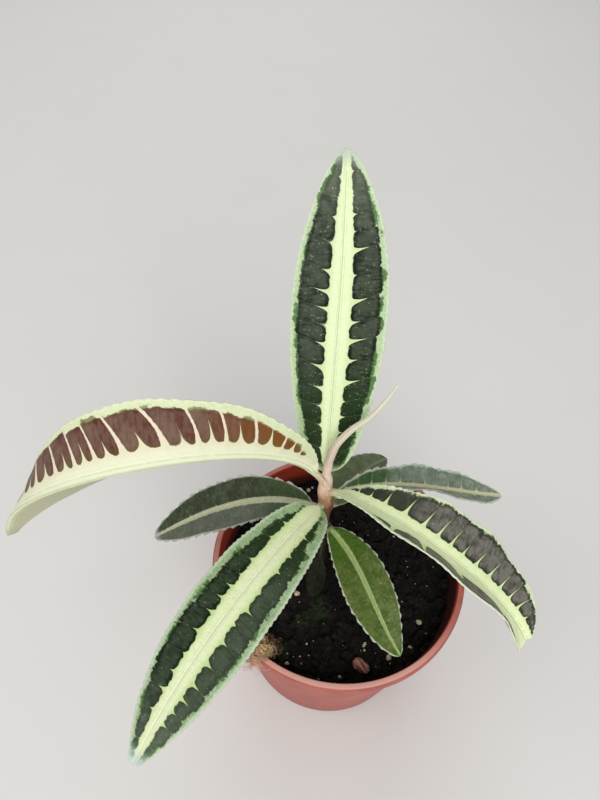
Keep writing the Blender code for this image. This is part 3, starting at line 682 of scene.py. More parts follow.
rightLeaf = dict(
    patternedLeaf, node="leaf_right", sheath=8.5, seed=4.0, stalkTint=(5.5, 10.5), petiole=2.4,
    height=110.5, length=108, width=33.8, stalk=0.09, fullness=(0.77, 0.74), skew=1.05, bluntTip=2.5,
    farTip=0.3, tipTwist=44, end=0.955, endRounding=0.7, farHalf=7.2, farSpacing=2.1,
    heading=(-51, -29, -14), rise=(58, -18, -65), roll=(2, -9, 11), cup=((19, 12, 23), (34, 37, 28)),
    teeth=46, tooth=0.4, waves=5, wave=0.7, spacing=5.6, slant=(-0.6, 0.1, 0.3), bend=0.008, quilt=0.4,
    veinRelief=0.1, band=(2.2, 3.6, 2.4), margin=(2.2, 1.2, 0.5),
    face=dict(
        # painted sheen: the greyish blotch colours; the line colour is painted shade in the midrib's crease
        band=(240, 250, 204), vein=(222, 240, 174), blotch=(50, 50, 40), secondBlotch=(120, 117, 107),
        baseBlotch=(48, 52, 36), margin=(196, 214, 162), smudge=(42, 60, 28), line=(104, 118, 74),
        rim=(222, 232, 202), spikeReach=9.0, spikeLeast=0.45, spikeWidth=0.05, lobe=0.3, core=0.3, ragged=2.2,
        roundness=8.0, tipStart=0.985, streaks=0.9, edgeLight=0.6, lineStrength=0.8),
)
smallLeftLeaf = dict(
    plainLeaf, node="leaf_left_small", sheath=5.5, seed=5.0, stalkTint=(3, 7),
    height=101.5, length=68, width=23, fullness=(0.60, 0.64), skew=0.93,
    heading=(163, 190, 200), rise=(11, -14, -26), roll=(-2, 3, 1), cup=((12, 14, 8), (14, 7, 6)),
    teeth=17, tooth=0.7, saw=0.8, waves=3, wave=0.4, spacing=5.2, quilt=0.28, veinRelief=0.08,
    band=(1.2, 1.5, 0.5), margin=(0.3, 0.4, 0.3),
    face=dict(
        # painted sheen: the second blotch colour and the left tint, which lightens the left half; the line
        # colour is painted shade
        plainFace, band=(196, 198, 166), line=(170, 166, 134), vein=(120, 130, 100), blotch=(48, 57, 33),
        secondBlotch=(74, 82, 58), baseBlotch=(58, 76, 40), smudge=(108, 108, 86), margin=(122, 134, 108),
        rim=(180, 186, 172), tip=(178, 182, 178), leftTint=0.17, spikeReach=0.8, lobe=0.15, pebble=0.7,
        faintVein=0.3, smudgeWidth=0.2, wobble=0.25, tipStart=0.94, lineStrength=0.4, rimWidth=0.6),
)
smallRightLeaf = dict(
    plainLeaf, node="leaf_right_small", sheath=5.5, seed=6.0,
    height=107.5, length=68, width=20.2, fullness=(0.62, 0.74), skew=1.03,
    heading=(19, 2, 8), rise=(22, -5, -9), roll=(0, -6, 3), cup=((10, 4, 8), (10, 45, 1)),
    teeth=19, tooth=0.5, saw=0.6, waves=4, wave=0.7, spacing=5.0, slant=0.15, quilt=0.45, veinRelief=0.1,
    band=(1.0, 1.4, 0.7), margin=(1.0, 1.2, 0.8),
    face=dict(
        # painted sheen: the light greyish blotch colours; the line colour is painted shade
        plainFace, band=(204, 200, 162), line=(196, 172, 146), vein=(176, 190, 146), blotch=(98, 114, 92),
        secondBlotch=(148, 157, 144), baseBlotch=(58, 90, 42), smudge=(88, 112, 76), margin=(150, 164, 136),
        rim=(190, 196, 184), tip=(186, 184, 180), streaks=0.5, spikeReach=4.5, spikeWidth=0.035, lobe=0.25,
        faintVein=0.5, smudgeWidth=0.3, wobble=0.3, tipStart=0.96, lineStrength=0.4, rimWidth=0.5),
)
smallFrontLeaf = dict(
    plainLeaf, node="leaf_front_small", sheath=4.2, grid=(200, 57), seed=7.0,
    height=94.5, length=54.5, width=18.6, stalk=0.06, fullness=(0.54, 0.70), skew=0.95,
    heading=(322, 297, 313), rise=(2, -14, -31), roll=(1, 0, -1), cup=((11, 6, 6), (10, 5, 7)),
    teeth=15, tooth=0.42, waves=3, wave=0.3, spacing=5.0, quilt=0.15, veinRelief=0.03,
    band=(1.2, 1.0, 0.3), margin=(0.15, 0.15, 0.2),
    face=dict(
        # the line colour is painted shade along the midrib
        plainFace, band=(176, 196, 128), line=(150, 176, 104), vein=(112, 132, 70), blotch=(76, 100, 34),
        secondBlotch=(114, 126, 68), baseBlotch=(76, 106, 32), smudge=(84, 108, 46), margin=(120, 140, 92),
        rim=(196, 204, 182), stalk=(110, 120, 66), tip=(124, 138, 98), streaks=0.4, spikeReach=0.15,
        lobe=0.05, smudgeWidth=0.1, wobble=0.2, tipStart=0.97, pebble=0.8, rimWidth=0.42, faintVein=0.12),
)
leafBehind = dict(
    plainLeaf, node="leaf_behind", sheath=5, grid=(120, 41), seed=8.0,
    height=101.5, length=34.5, width=16, fullness=(0.60, 0.70), skew=1.0,
    heading=(51, 47, 27), rise=(12, 5, -7), roll=0, cup=((10, 8, 6), (10, 8, 6)),
    teeth=13, tooth=0.25, waves=2, wave=0.3, spacing=4.2, slant=0.3, quilt=0.15, veinRelief=0.03,
    band=(0.9, 0.8, 0.4), margin=0.5,
    face=dict(
        # the line colour is painted shade along the midrib
        plainFace, band=(128, 134, 100), line=(112, 116, 90), vein=(100, 112, 82), blotch=(78, 92, 60),
        secondBlotch=(100, 110, 82), baseBlotch=(78, 96, 60), smudge=(80, 96, 64), margin=(96, 108, 82),
        rim=(126, 130, 108), tip=(112, 116, 98), spikeReach=1.0, lobe=0.2, smudgeWidth=0.1, wobble=0.1,
        lineStrength=0.2),
)
lowLeaf = dict(
    plainLeaf, node="leaf_low", sheath=4.5, grid=(120, 33), seed=9.0, stalkTint=(3, 11), stalkHalf=0.8,
    petiole=1.3, keel=0.15, height=91.5, length=29.5, width=7.6, stalk=0.35, fullness=(0.58, 0.49), skew=0.99,
    heading=(275, 257, 265), rise=(-21, -60, -57), roll=0, cup=((10, 5, 0), (10, 4, 0)),
    teeth=9, tooth=0.12, waves=1, wave=0.2, spacing=3.2, slant=0.3, quilt=0.08, veinRelief=0.02,
    band=(0.3, 0.25, 0.2), margin=0.2,
    face=dict(
        # painted shade: near-black colours for a leaf that hangs low in shade, a little lighter at the tip
        # where light reaches it
        plainFace, band=(30, 38, 20), line=(34, 36, 22), vein=(28, 36, 20), blotch=(20, 28, 15),
        secondBlotch=(44, 42, 28), baseBlotch=(22, 30, 15), smudge=(30, 34, 18), margin=(30, 34, 22),
        rim=(34, 40, 26), stalk=(54, 50, 28), tip=(44, 40, 30), spikeReach=0.4, lobe=0.1, smudgeWidth=0.1,
        wobble=0.1, tipStart=0.96, lineStrength=0.2),
)
leaves = dict(
    backLeaf=backLeaf, leftLeaf=leftLeaf, frontLeftLeaf=frontLeftLeaf, rightLeaf=rightLeaf,
    smallLeftLeaf=smallLeftLeaf, smallRightLeaf=smallRightLeaf, smallFrontLeaf=smallFrontLeaf,
    leafBehind=leafBehind, lowLeaf=lowLeaf,
)

creamUnderside = leafMaterial("creamUnderside", creamUnder, 0.25, 0.5, 0.45)
plainUnderside = leafMaterial("plainUnderside", plainUnder, 0.25, 0.55, 0.5)
for name, leaf in leaves.items():
    face = leafMaterial(name + "Face", leaf["face"], leaf["shine"])
    underside = creamUnderside if leaf["under"] is creamUnder else plainUnderside
    newPiece(name, leafMesh(name, leaf), [face, underside], leaf["node"])
print("leaves grown")


def stemTube():
    # the radius along the height, plus a ring at each scar and a swelling under each leaf stalk
    h, a = np.linspace(stem["foot"], stem["top"], stem["rows"])[:, None], around(stem["sides"])
    known, radii = zip(*stem["radii"])
    radius = np.interp(h, known, radii) + 0 * a
    for k, scar in enumerate(stem["scars"]):
        above = h - (scar + 0.7 * np.cos(a - 2.4 * k))
        radius += stem["swell"] * bell(above / 0.8) - 0.12 * bell((above - 1.3) / 0.5)
    for leaf in leaves.values():
        away = np.angle(np.exp(1j * (a - math.radians(leaf["heading"][0]))))
        drop = (h - leaf["height"] + 1.2) / (2.6 + 1.5 * (h < leaf["height"] - 1.2))
        radius += 0.7 * leaf["stalkHalf"] / 1.6 * bell(drop) * bell(away / 0.75)
    radius += 0.05 * smoothNoise(a * 8, h * 0.35, 4) * ramp((110 - h) / 20)
    return stemCentre(h) + radius[..., None] * vectors(np.cos(a), np.sin(a), 0)


def sheathOver(count):
    # how far a sleeve stands off its stalk: it dives into the stalk at its end
    return stem["sheathOver"] * (1 - 2.0 * np.linspace(0, 1, count) ** 2)


def sheathRings(leaf):
    # an oval sleeve round the foot of a leaf stalk
    t = np.linspace(0.001, leaf["sheath"] / leaf["length"], 16)
    _, up, left = leafFrame(leaf, t)
    wide = halfWidth(leaf, t)[0] + sheathOver(16)
    deep = stalkThickness(leaf, t * leaf["length"]) / 2 + sheathOver(16)
    side = (wide[:, None] * np.cos(around(24)))[..., None]
    rise = (deep[:, None] * np.sin(around(24)))[..., None]
    return midrib(leaf, t)[:, None] + side * left[:, None] + rise * up[:, None]


youngLeaf = dict(
    points=((-8.1, 10.0, 117.6), (-7.9, 11.0, 121.0), (-7.4, 12.0, 125.8), (-5.5, 13.5, 132.7),
            (-1.2, 15.5, 138.4), (4.4, 17.5, 142.9), (8.9, 19.5, 149.2), (12.6, 21.5, 156.1)),
    radii=(1.25, 1.45, 1.6, 1.5, 1.35, 1.15, 0.8, 0.3), rows=170, sides=40, step=0.22, seamTwist=1.3,
)
youngPath = [(*point, radius) for point, radius in zip(youngLeaf["points"], youngLeaf["radii"])]


def stemMesh():
    # tube and sleeves become one skin: a voxel remesh joins them, and smoothing fills the corners
    path = spread(youngPath[:3], 16)
    rise = np.linspace(0, 1, 12)[:, None]
    bud = np.array(stem["bud"][0]) * (1 - rise) + np.array(stem["bud"][1]) * rise
    budRadii = stem["budRadius"] * np.sqrt(np.clip(1 - rise**4, 0.01, 1))
    shells = [stemTube(), tubePoints(path[:, :3], (path[:, 3] + sheathOver(16))[:, None], around(24)),
              *(sheathRings(leaf) for leaf in leaves.values()), tubePoints(bud, budRadii, around(20))]

    def joinSkins(body):
        remesh = body.modifiers.new("Skin", "REMESH")
        remesh.mode, remesh.voxel_size, remesh.use_smooth_shade = "VOXEL", stem["voxel"] * mm, True
        smooth = body.modifiers.new("Fillets", "SMOOTH")
        smooth.factor, smooth.iterations = 0.5, stem["smoothing"]

    return baked("mainStem", tubeMesh("mainStem", *shells), joinSkins)


def youngLeafMesh():
    # a rolled leaf: the radius shrinks once round from the outer edge, and steps back there
    rows, sides = youngLeaf["rows"], youngLeaf["sides"]
    fine = spread(youngPath, rows)
    along, share = np.linspace(0, 1, rows)[:, None], np.linspace(0, 1, sides)[None]
    fold = 1 - youngLeaf["step"] * share**0.7 * ramp(along * 5)
    lines = 0.02 * np.cos(share * turn * 9) * ramp(along * 4)
    radii = fine[:, 3:4] * (fold + lines) * (1 + 0.03 * smoothNoise(along * 14, share * 3, 8))
    angle = share * turn * (sides - 1) / sides + youngLeaf["seamTwist"] - 0.9 * along
    return tubeMesh("youngLeaf", tubePoints(fine[:, :3], radii, angle, (0.0, 1.0, 0.0)))


def fleshMaterial(name, stops, lines, roughness, spot=None):
    # stops: (height, colour) from low to high; lines: (share, colour); spot: (centre, radius, colour)
    def look(tree):
        place = ownPlace(tree)
        x, y, z = place.split()
        tone, fine, flecks = grainOf(place, 0.3, 2.2, 0.06)
        level = z + (tone - 0.5) * 7.0
        streak = (x * 3.0).join(y * 3.0, z * 0.35).noise(1.0, 3.0, 0.6)
        steps = [(level.step(low, high), colour) for (low, _), (high, colour) in zip(stops, stops[1:])]
        lined = (streak.step(0.45, 0.75) * lines[0], lines[1])
        colour = layers(stops[0][1], *steps, lined, (flecks * 0.4, (120, 90, 70)))
        if spot:
            (sx, sy, sz), reach, spotColour = spot
            gap = (x - sx) * (x - sx) + (y - sy) * (y - sy) + (z - sz) * (z - sz)
            near = (gap.root() + (fine - 0.5) * 1.2).step(reach, reach * 0.6)
            colour = (near * 0.85).blend(colour, spotColour)
        return colour, roughness + fine * 0.12, streak * 0.6 + fine * 0.4

    return newMaterial(name, 0.4, 0.08, look)


# darker downwards: the stem's own colour turns olive-brown, and the near-black at the foot is painted shade
# under the leaves
stemSkinAndShade = fleshMaterial(
    "stemSkinAndShade",
    ((60, (32, 30, 18)), (95, (50, 46, 26)), (103.5, (98, 72, 44)), (108.5, (152, 110, 80)),
     (112.5, (214, 172, 146)), (117, (238, 216, 198))),
    (0.35, (176, 140, 118)), 0.42, spot=(stem["bud"][1], 2.0, (84, 78, 40)))
newPiece("mainStem", stemMesh(), [stemSkinAndShade], "stem")
youngSkin = fleshMaterial(
    "youngSkin",
    ((117, (226, 200, 182)), (126, (226, 206, 190)), (138, (224, 214, 192)), (152, (226, 226, 200))),
    (0.4, (196, 172, 152)), 0.45)
newPiece("youngLeaf", youngLeafMesh(), [youngSkin], "new_leaf")
print("stem and young leaf grown")


pot = dict(
    height=76, rim=50, lipWidth=2.6, lipDepth=4.2, rounding=(0.7, 1.1, 0.6), base=37, wall=1.2, floor=1.8,
    baseRounding=1.5, sides=192, holes=6, holeRadius=3.5, holeRing=27, holeTurn=0.03, weld=0.03,
)
lipInner = pot["rim"] - pot["lipWidth"]


def arc(centreR, centreZ, radius, start, end, steps):
    angles = np.radians(np.linspace(start, end, steps + 1))
    return vectors(centreR + radius * np.cos(angles), centreZ + radius * np.sin(angles))


def wallRadius(z):
    return pot["base"] + (lipInner + pot["wall"] - pot["base"]) * z / pot["height"]


def potProfile():
    # (radius, height) from the middle of the inner floor, up inside, over the rolled lip and down outside
    inner, outer, lower = pot["rounding"]
    rim, high, floor, foot = pot["rim"], pot["height"], pot["floor"], pot["baseRounding"]
    lipBottom, innerFloor, base = high - pot["lipDepth"], wallRadius(floor) - pot["wall"], wallRadius(foot)
    heights = np.linspace(floor + 1.5, high - 3.2, 24)
    outHeights = np.linspace(lipBottom - 0.5, foot + 0.5, 24)
    return np.vstack([
        [(0.02, floor), (innerFloor * 0.4, floor), (innerFloor * 0.8, floor), (innerFloor - 1.8, floor)],
        [(innerFloor - 0.5, floor + 0.4)], vectors(wallRadius(heights) - pot["wall"], heights),
        arc(lipInner + inner, high - inner, inner, 180, 90, 6),
        arc(rim - outer, high - outer, outer, 90, 0, 8),
        arc(rim - lower, lipBottom + lower, lower, 0, -90, 6),
        vectors(wallRadius(outHeights), outHeights), arc(base - foot, foot, foot, 0, -90, 6),
        [(base - 3.0, 0), (base * 0.7, 0), (base * 0.35, 0), (0.02, 0)],
    ])


def potMesh():
    # the profile carried round the axis, with cylinders cut through the floor as drain holes
    radius, height = potProfile().T[..., None]
    angles = around(pot["sides"])
    rings = vectors(radius * np.cos(angles), radius * np.sin(angles), height)
    turned = angles[::4] + pot["holeTurn"]                # keeps the holes' corners off the pot's own edges
    cutters = []
    for angle in around(pot["holes"]) + turn / 2 / pot["holes"]:
        x, y = (pot["holeRing"] * f(angle) + pot["holeRadius"] * f(turned) for f in (np.cos, np.sin))
        cutters.append(addObject("holeCutter", tubeMesh("holeCutter", vectors(x, y, [[-3.0], [6.0]]))))

    def cutHoles(body):
        for cutter in cutters:
            boolean = body.modifiers.new("Hole", "BOOLEAN")
            boolean.operation, boolean.solver, boolean.object = "DIFFERENCE", "EXACT", cutter
        body.modifiers.new("Weld", "WELD").merge_threshold = pot["weld"] * mm

    mesh = baked("nurseryPot", tubeMesh("nurseryPot", rings[::-1]), cutHoles, cutters)
    mesh.shade_smooth()
    mesh.set_sharp_from_angle(angle=math.radians(45))
    return mesh


def potLook(tree):
    # terracotta-coloured plastic: cloudy tone, scuffs on the lip, a painted highlight along the top of the
    # lip, soil stains inside with painted shade that raises them at the front right, and darker and greyer
    # towards the base outside
    place = ownPlace(tree)
    x, y, z = place.split()
    radius = (x * x + y * y).root()
    tone, fine, flecks = grainOf(place, 0.06, 1.4, 0.05)
    within = wallRadius(0) + (wallRadius(1) - wallRadius(0)) * z - radius    # from the outer face inwards
    inside = within.step(0.3, 0.8) * z.step(75.5, 74.5)
    inside = inside.most(radius.step(47.9, 47.6) * z.step(70.0, 72.0))
    rim = z.step(74.9, 75.4) * radius.step(47.5, 47.8) * radius.step(49.7, 49.2)
    scratch = (x * 0.6).join(y * 0.6, z * 6.0).noise(1.0, 4.0, 0.7)
    scuff = scratch.step(0.6, 0.74) * tone.step(0.42, 0.7)
    right = (x * 0.8 - y * 0.6).step(-5.0, 28.0)          # painted shade: the soil stains rise higher at the front right, where the inner wall is in shade
    stainAndShadeLine = 71.0 + 4.5 * right
    soiledAndShaded = inside * (z + (fine - 0.5) * 5.0).step(stainAndShadeLine, stainAndShadeLine - 5.0 + right * 2.5)
    colour = layers(
        tone.blend((150, 68, 58), (178, 90, 80)),
        (place.noise(0.075, 4.0, 0.65).step(0.42, 0.64) * z.step(5.0, 60.0) * 0.42, (204, 118, 98)),
        (inside, (164, 58, 40)),
        # painted highlight: a pale pinkish line along the top of the lip, strongest at the front left
        (rim * (0.1 + 0.8 * (y + x * 0.4).step(0.0, -38.0)), (218, 166, 152)),
        (scuff * 0.4, (214, 164, 152)),
        # soil stains inside, darker at the front right, with painted shade there
        (soiledAndShaded * (0.85 + right * 0.1), (30, 17, 13)),
        # darker and greyer towards the base outside
        ((z + (tone - 0.5) * 14.0).step(11.0, 1.0) * (1 - inside) * 0.3, (130, 80, 72)),
        (flecks * 0.55, (74, 48, 40)))
    return colour, 0.44 + tone * 0.1 + scuff * 0.15, fine * 0.35 + scratch * 0.5


newPiece("nurseryPot", potMesh(), [newMaterial("potPlastic", 0.45, 0.05, potLook)], "pot")
print("pot turned")


soil = dict(
    top=65, cells=272, wallGap=0.5, floor=2.3, mound=(1.4, 13),
    moss=((-20.4, -33.5, 5.0), (-6.4, -17.3, 6.0), (-13.5, -22.0, 4.0)),    # x, y, reach
    perlite=((32.3, -19.8, 2.2), (19.9, -33.8, 1.8), (10.6, -29.9, 1.7), (-18.2, -38.0, 1.6),    # x, y, size
             (1.5, -41.6, 1.5), (28.6, -29.8, 2.0), (-15.8, -11.7, 2.4), (-12.8, 38.6, 1.8)),
)


def soilHeight(x, y):
    # gentle hollows and mounds, a little higher round the stem and lower at the pot's wall
    stemAway = np.hypot(x - stem["atSoil"][0], y - stem["atSoil"][1])
    mound = soil["mound"][0] * bell(stemAway / soil["mound"][1])
    rolling = 0.6 * np.sin(x / 6.1 + 0.8) * np.cos(y / 5.3 - 0.4) + 0.4 * np.sin((x + 1.7 * y) / 8.3)
    return soil["top"] - 0.8 + mound + rolling - 0.9 * (np.hypot(x, y) / 45) ** 6


def soilSurface(x, y):
    # the heights above with three sizes of crumbs and the hollows between them
    rough = 0.9 * crumbs(x, y, 4.2, 11) + 0.8 * crumbs(x, y, 2.1, 23) + 0.7 * crumbs(x, y, 1.1, 37)
    hollow = 0.5 * smoothNoise(x / 3.0, y / 3.0, 5) + 0.25 * smoothNoise(x / 1.2, y / 1.2, 6)
    return soilHeight(x, y) + rough - 0.6 + hollow


def soilMesh():
    # a square grid mapped to a disc, (a sqrt(1 - b^2/2), b sqrt(1 - a^2/2)), over a plug with a flat base
    count = soil["cells"] + 1
    topRadius = wallRadius(soil["top"]) - pot["wall"] - 0.15
    taper = (wallRadius(soil["floor"] + 1) - pot["wall"] - soil["wallGap"] - 1.2) / topRadius
    a, b = np.meshgrid(np.linspace(-1, 1, count), np.linspace(-1, 1, count), indexing="ij")
    x, y = topRadius * a * np.sqrt(1 - b * b / 2), topRadius * b * np.sqrt(1 - a * a / 2)
    top = vectors(x, y, soilSurface(x, y)).reshape(-1, 3)
    border = gridBorder(count, count)
    sides, first = len(border), len(top)
    levels = ((0.75 * soil["top"], (taper + 3) / 4), (0.4 * soil["top"], (taper + 1) / 2),
              (soil["floor"], taper))    # height, share of the top's radius
    rings = [vectors(*(top[border, :2] * size).T, height) for height, size in levels]
    here = first + np.arange(sides)
    wall = np.stack([here, np.roll(here, -1), np.roll(border, -1), border], -1)
    floor = (2 * sides + here[::-1])[None]
    faceSets = [gridFaces(count, count), wall, gridFaces(3, sides, wrap=True, first=first), floor]
    return meshFrom("pottingSoil", np.vstack([top, *rings]), faceSets)


def ballPoints(polar, sides):
    # rings of a unit ball: (sin p cos a, sin p sin a, cos p)
    p, a = polar[:, None], around(sides)
    return vectors(np.sin(p) * np.cos(a), np.sin(p) * np.sin(a), np.cos(p))


def lumpMesh(name, places, sizes, seed, rings=5, sides=7, roughness=0.16):
    # balls with hashed corners, squashed and turned: one grid with two poles for each
    count, k = np.arange(len(places)), np.arange(sides)
    ball = ballPoints(np.linspace(0, math.pi, rings + 2)[1:-1], sides).reshape(-1, 3)
    ball = np.vstack([ball, [(0, 0, 1), (0, 0, -1)]])
    bumps = hashed(count[:, None], np.arange(len(ball)), seed)[..., None]
    shape = ball[None] * (1 - roughness + 2 * roughness * bumps)
    ranges = ((0.8, 0.5), (0.7, 0.4), (0.55, 0.4))
    squash = [least + more * hashed(count, axis + 1, seed) for axis, (least, more) in enumerate(ranges)]
    x, y, z = np.moveaxis(shape * (sizes[:, None, None] / 2) * vectors(*squash)[:, None], -1, 0)
    spin, tilt = turn * hashed(count, 4, seed)[:, None], 0.6 * (hashed(count, 5, seed)[:, None] - 0.5)
    y, z = y * np.cos(tilt) - z * np.sin(tilt), y * np.sin(tilt) + z * np.cos(tilt)
    turned = vectors(x * np.cos(spin) - y * np.sin(spin), x * np.sin(spin) + y * np.cos(spin), z)
    points = turned + places[:, None]
    last, after = (rings - 1) * sides, (k + 1) % sides
    caps = np.vstack([vectors(rings * sides, k, after), vectors(rings * sides + 1, last + after, last + k)])
    shift = (count * len(ball))[:, None, None]
    quads = gridFaces(rings, sides, wrap=True) + shift
    return meshFrom(name, points, [quads.reshape(-1, 4), (caps + shift).reshape(-1, 3)])


def peatLook(tree):
    # near-black peat: brown crumbs, pale dust on the crests, and green where moss grows
    place = ownPlace(tree)
    x, y, z = place.split()
    tone, fine, flecks = grainOf(place, 0.4, 2.4, 0.16)
    crumb = place.cells(0.9, "Color").split()[0]
    moss = crumb * 0.0
    for mx, my, reach in soil["moss"]:
        away = ((x - mx) * (x - mx) + (y - my) * (y - my)).root()
        moss = moss.most((away + (tone - 0.5) * 8.0).step(reach, reach * 0.3))
    colour = layers(
        (9, 8, 6),
        (crumb.step(0.45, 1.0) * tone.step(0.35, 0.65), (38, 28, 20)),
        (fine.step(0.55, 0.75) * 0.4, (52, 42, 32)),
        (moss * 0.7, (34, 48, 24)),
        (flecks * 0.75, (150, 140, 122)))
    return colour, 0.82 + tone * 0.15, fine + tone


def perliteLook(tree):
    # porous white glass foam, stained by the peat
    place = ownPlace(tree)
    tone, fine, flecks = grainOf(place, 0.8, 3.5, 0.1)
    pores = place.cells(2.8)
    colour = layers(
        (206, 196, 170),
        (tone.step(0.4, 0.7) * 0.7, (128, 106, 74)),
        (pores.step(0.2, 0.05) * 0.5, (96, 82, 62)))
    return colour, 0.75 + fine * 0.2, pores


def strewn(name, material, count, reach, sizes, power, seed):
    # lumps evenly spread on a disc: radius reach * sqrt(u), any angle, and few large ones
    k = np.arange(count)
    radius, angle = reach * np.sqrt(hashed(k, 1, seed)), turn * hashed(k, 2, seed)
    x, y = radius * np.cos(angle), radius * np.sin(angle)
    size = sizes[0] + sizes[1] * hashed(k, 3, seed) ** power
    places = vectors(x, y, soilSurface(x, y) + 0.1 * size)
    newPiece(name, lumpMesh(name, places, size, seed + 10), [material])


peat = newMaterial("peat", 0.25, 0.25, peatLook)
pale = newMaterial("perlitePale", 0.3, 0.2, perliteLook)
newPiece("pottingSoil", soilMesh(), [peat], "soil")
strewn("looseCrumbs", peat, 900, 45.0, (0.7, 2.1), 2.5, 51)
grainX, grainY, grainSize = np.array(soil["perlite"]).T
grainPlace = vectors(grainX, grainY, soilHeight(grainX, grainY) + 0.35 * grainSize)
newPiece("perlite", lumpMesh("perlite", grainPlace, grainSize * 1.1, 71, 6, 9, 0.22), [pale])
strewn("paleBits", pale, 130, 44.0, (0.35, 0.75), 3, 81)
print("soil filled in")


chip = dict(size=(6.4, 4.4, 2.6), swell=1.3, turn=math.radians(-38), rings=40, sides=72)


def chipMesh():
    # a flattened ball, |x|^2.6 + |y|^2.6 + |z|^2.6 = 1 roughly, with layers and chipped edges
    ball = ballPoints(np.linspace(0.02, math.pi - 0.02, chip["rings"]), chip["sides"])
    x, y, z = np.moveaxis(np.sign(ball) * np.abs(ball) ** 0.75, -1, 0)
    rough = 1 - 0.14 * (1 + smoothNoise(x * 1.6 + 9, y * 1.6 + z, 2))
    rough = rough - 0.05 * (1 + smoothNoise(x * 5, y * 5 + 3 * z, 7))
    layer = 0.05 * np.round(z * 3) / 3
    deep = z * (0.9 - 0.1 * smoothNoise(x * 2, y * 2, 5) ** 2)
    points = vectors(x * rough * (0.95 + layer), y * rough * (0.95 - layer), deep)
    x, y, z = np.moveaxis(points * np.array(chip["size"]) / 2 * chip["swell"], -1, 0)
    c, s = math.cos(chip["turn"]), math.sin(chip["turn"])
    low, high = nodeCorners("bark_chip")
    return tubeMesh("barkChip", (vectors(x * c - y * s, x * s + y * c, z) + (low + high) / 2)[::-1])


def chipLook(tree):
    place = ownPlace(tree)
    x, y, z = place.split()
    tone, fine, flecks = grainOf(place, 0.5, 2.6, 0.1)
    bands = (x * 0.5).join(y * 0.5, z * 5.0).noise(1.0, 3.0, 0.6)
    colour = layers(
        (104, 58, 48),
        (tone.step(0.35, 0.65), (52, 28, 24)),
        (bands.step(0.45, 0.65) * 0.6, (140, 92, 78)),
        # painted highlight: pinkish patches over the chip
        ((x + y * 0.8).join(x * 0.2, z).noise(0.45, 2.0).step(0.44, 0.56) * 0.8, (184, 126, 110)),
        (flecks * 0.6, (40, 28, 22)))
    return colour, 0.7 + fine * 0.2, bands + fine


newPiece("barkChip", chipMesh(), [newMaterial("barkChipSkin", 0.3, 0.25, chipLook)], "bark_chip")


tuft = dict(
    heading=-127.5, strands=360, steps=16, sides=5, radius=(0.09, 0.18), length=(2.0, 6.0), spread=5,
    stray=3.2, seed=7, room=0.25, outside=47,
    core=((39.5, 67.6, 1.5), (42.5, 69.6, 1.9), (45.0, 74.0, 1.5), (47.0, 77.9, 1.4), (50.4, 78.0, 1.2),
          (52.3, 75.2, 0.9)),    # distance from the pot's axis, height, radius
)


def tuftMesh():
    # each strand leaves a point of the core, curls sideways, rises a little and droops:
    # z = z0 + lift * s - drop * s^2
    draws = hashed(np.arange(tuft["strands"])[:, None], np.arange(14), tuft["seed"]).T[..., None]
    core, room = spread(tuft["core"], 60), tuft["room"]
    root = core[(draws[1, :, 0] * (len(core) - 1)).astype(int)]
    rootRadial, rootHeight, rootRadius = root[:, :1], root[:, 1:2], root[:, 2:3]
    s = np.linspace(0, 1, tuft["steps"])[None]
    length = tuft["length"][0] + (tuft["length"][1] - tuft["length"][0]) * draws[2]
    length = length * np.where(rootRadial > tuft["outside"], 1.5, 1)
    out, lift, swing = 2 * draws[3] - 1, 0.1 + 0.9 * draws[4], 2 * draws[5] - 1
    curl, phase = 0.5 + 0.9 * draws[6], turn * draws[7]
    start, offset = turn * draws[8], np.sqrt(draws[9]) * rootRadius
    radial = rootRadial + offset * np.cos(start) + length * s * 0.5 * out + curl * np.sin(s * 9 + phase) * s
    height = rootHeight + offset * np.sin(start) + length * (0.45 * lift * s - 0.45 * s**2)
    height = height + curl * np.cos(s * 11 + phase) * s
    heading = np.radians(tuft["heading"] + tuft["stray"] * swing + tuft["spread"] * (2 * draws[10] - 1) * s)
    heading = heading + 0.03 * np.sin(s * 12 + 2 * phase) * s

    # strands stay above the lip, and above the soil inside the pot
    inside, onLip = radial <= lipInner - room, (radial > lipInner - room) & (radial < pot["rim"] + room)
    height = np.where(onLip, np.maximum(height, pot["height"] + room), height)
    height = np.where(inside, np.maximum(height, soil["top"] + 0.6), height)
    low, high = nodeCorners("fibre_tuft")
    path = np.clip(vectors(radial * np.cos(heading), radial * np.sin(heading), height), low + 0.2, high - 0.2)
    radii = (tuft["radius"][0] + (tuft["radius"][1] - tuft["radius"][0]) * draws[11]) * (1 - 0.7 * s)
    points = tubePoints(path, radii[..., None], around(tuft["sides"]))
    mesh = tubeMesh("fibreTuft", *points)
    tint = (ramp((rootRadial - 41) / 10) + 0.25 * (draws[12] - 0.5))[..., None] + 0 * points[..., 0]
    addVectors(mesh, "strand", vectors(tint, draws[13][..., None], s[..., None]))
    return mesh


def fibreLook(tree):
    # reddish brown inside the pot, straw yellow over the lip and whitish where it hangs outside
    tint, luck, _ = read(tree, "strand").split()
    tone, fine, _ = grainOf(ownPlace(tree), 0.8, 4.0, 0.1)
    colour = layers(
        (112, 66, 50),
        (tint.step(0.25, 0.5), (238, 208, 150)),
        (tint.step(0.65, 0.9), (222, 174, 146)),
        (luck.step(0.55, 0.8) * 0.8, (84, 52, 34)),
        (luck.step(0.25, 0.0) * 0.6, (224, 200, 160)),
        (tone * 0.2, (226, 206, 168)))
    return colour, 0.8 + fine * 0.1, fine


newPiece("fibreTuft", tuftMesh(), [newMaterial("dryFibre", 0.3, 0.05, fibreLook)], "fibre_tuft")
print("chip and tuft laid")


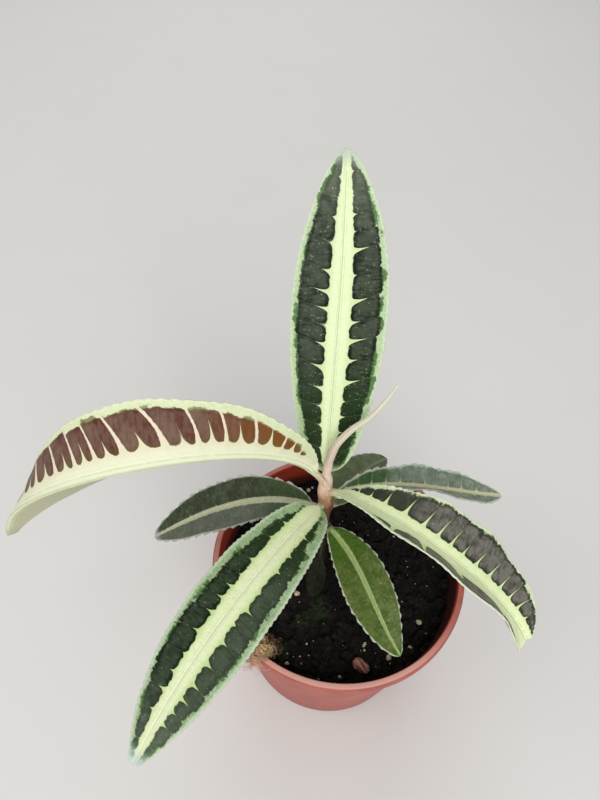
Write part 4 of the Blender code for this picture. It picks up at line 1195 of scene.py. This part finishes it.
studio = dict(
    floorHalf=3000, floorDrop=0.3, background=0.45, target=(0, 0, 0.09),
    lights=(  # name, place and size in metres, power in watts
        ("keyLight", (0.2, -0.95, 0.9), 0.8, 9.5),
        ("fillLight", (-0.95, -0.25, 0.75), 0.9, 3.0),
        ("backLight", (-0.1, 1.1, 0.9), 1.0, 4.2),
    ),
)
photoCamera = dict(    # angles in degrees, place in metres
    pitch=49.086, roll=3.3275, place=(-0.01908, -0.11600, 0.30408), lens=624 / 800 * 36,
)


def floorLook(tree):
    tone = ownPlace(tree).noise(0.02, 3.0)
    return (tone * 0.15).blend((222, 221, 218), (205, 204, 202)), 0.7 + tone * 0.1, tone


def makeStudio():
    half, drop = studio["floorHalf"], -studio["floorDrop"]
    corners = [(-half, -half, drop), (half, -half, drop), (half, half, drop), (-half, half, drop)]
    floor = addObject("floor", meshFrom("floor", corners, [np.array([[0, 1, 2, 3]])]))
    floor.data.materials.append(newMaterial("floorPaint", 0.2, 0.02, floorLook))
    world = bpy.data.worlds.new("studioAir")
    bpy.context.scene.world = world
    world.use_nodes = True
    world.node_tree.nodes["Background"].inputs["Color"].default_value = (1, 1, 1, 1)
    world.node_tree.nodes["Background"].inputs["Strength"].default_value = studio["background"]
    for name, place, size, power in studio["lights"]:
        light = bpy.data.lights.new(name, "AREA")
        light.size, light.energy = size, power
        lamp = addObject(name, light)
        lamp.location = place
        lamp.rotation_euler = (Vector(studio["target"]) - Vector(place)).to_track_quat("-Z", "Y").to_euler()


def makeCamera():
    # looks down by pitch from the level, and is rolled about its own line of sight
    pitch, roll = math.radians(photoCamera["pitch"]), math.radians(photoCamera["roll"])
    ahead, right = Vector((0, math.cos(pitch), -math.sin(pitch))), Vector((1, 0, 0))
    above = right.cross(ahead)
    x, y = math.cos(roll) * right + math.sin(roll) * above, math.cos(roll) * above - math.sin(roll) * right
    data = bpy.data.cameras.new("photoCamera")
    data.sensor_fit, data.sensor_width, data.lens = "AUTO", 36, photoCamera["lens"]
    data.clip_start, data.clip_end = 0.01, 50
    camera = addObject("photoCamera", data)
    matrix = Matrix((x, y, -ahead)).transposed().to_4x4()
    matrix.translation = Vector(photoCamera["place"])
    camera.matrix_world = matrix
    bpy.context.scene.camera = camera


makeStudio()
makeCamera()
bpy.context.scene.view_settings.view_transform = "Standard"
bpy.context.scene.view_settings.look = "None"
print("studio set")
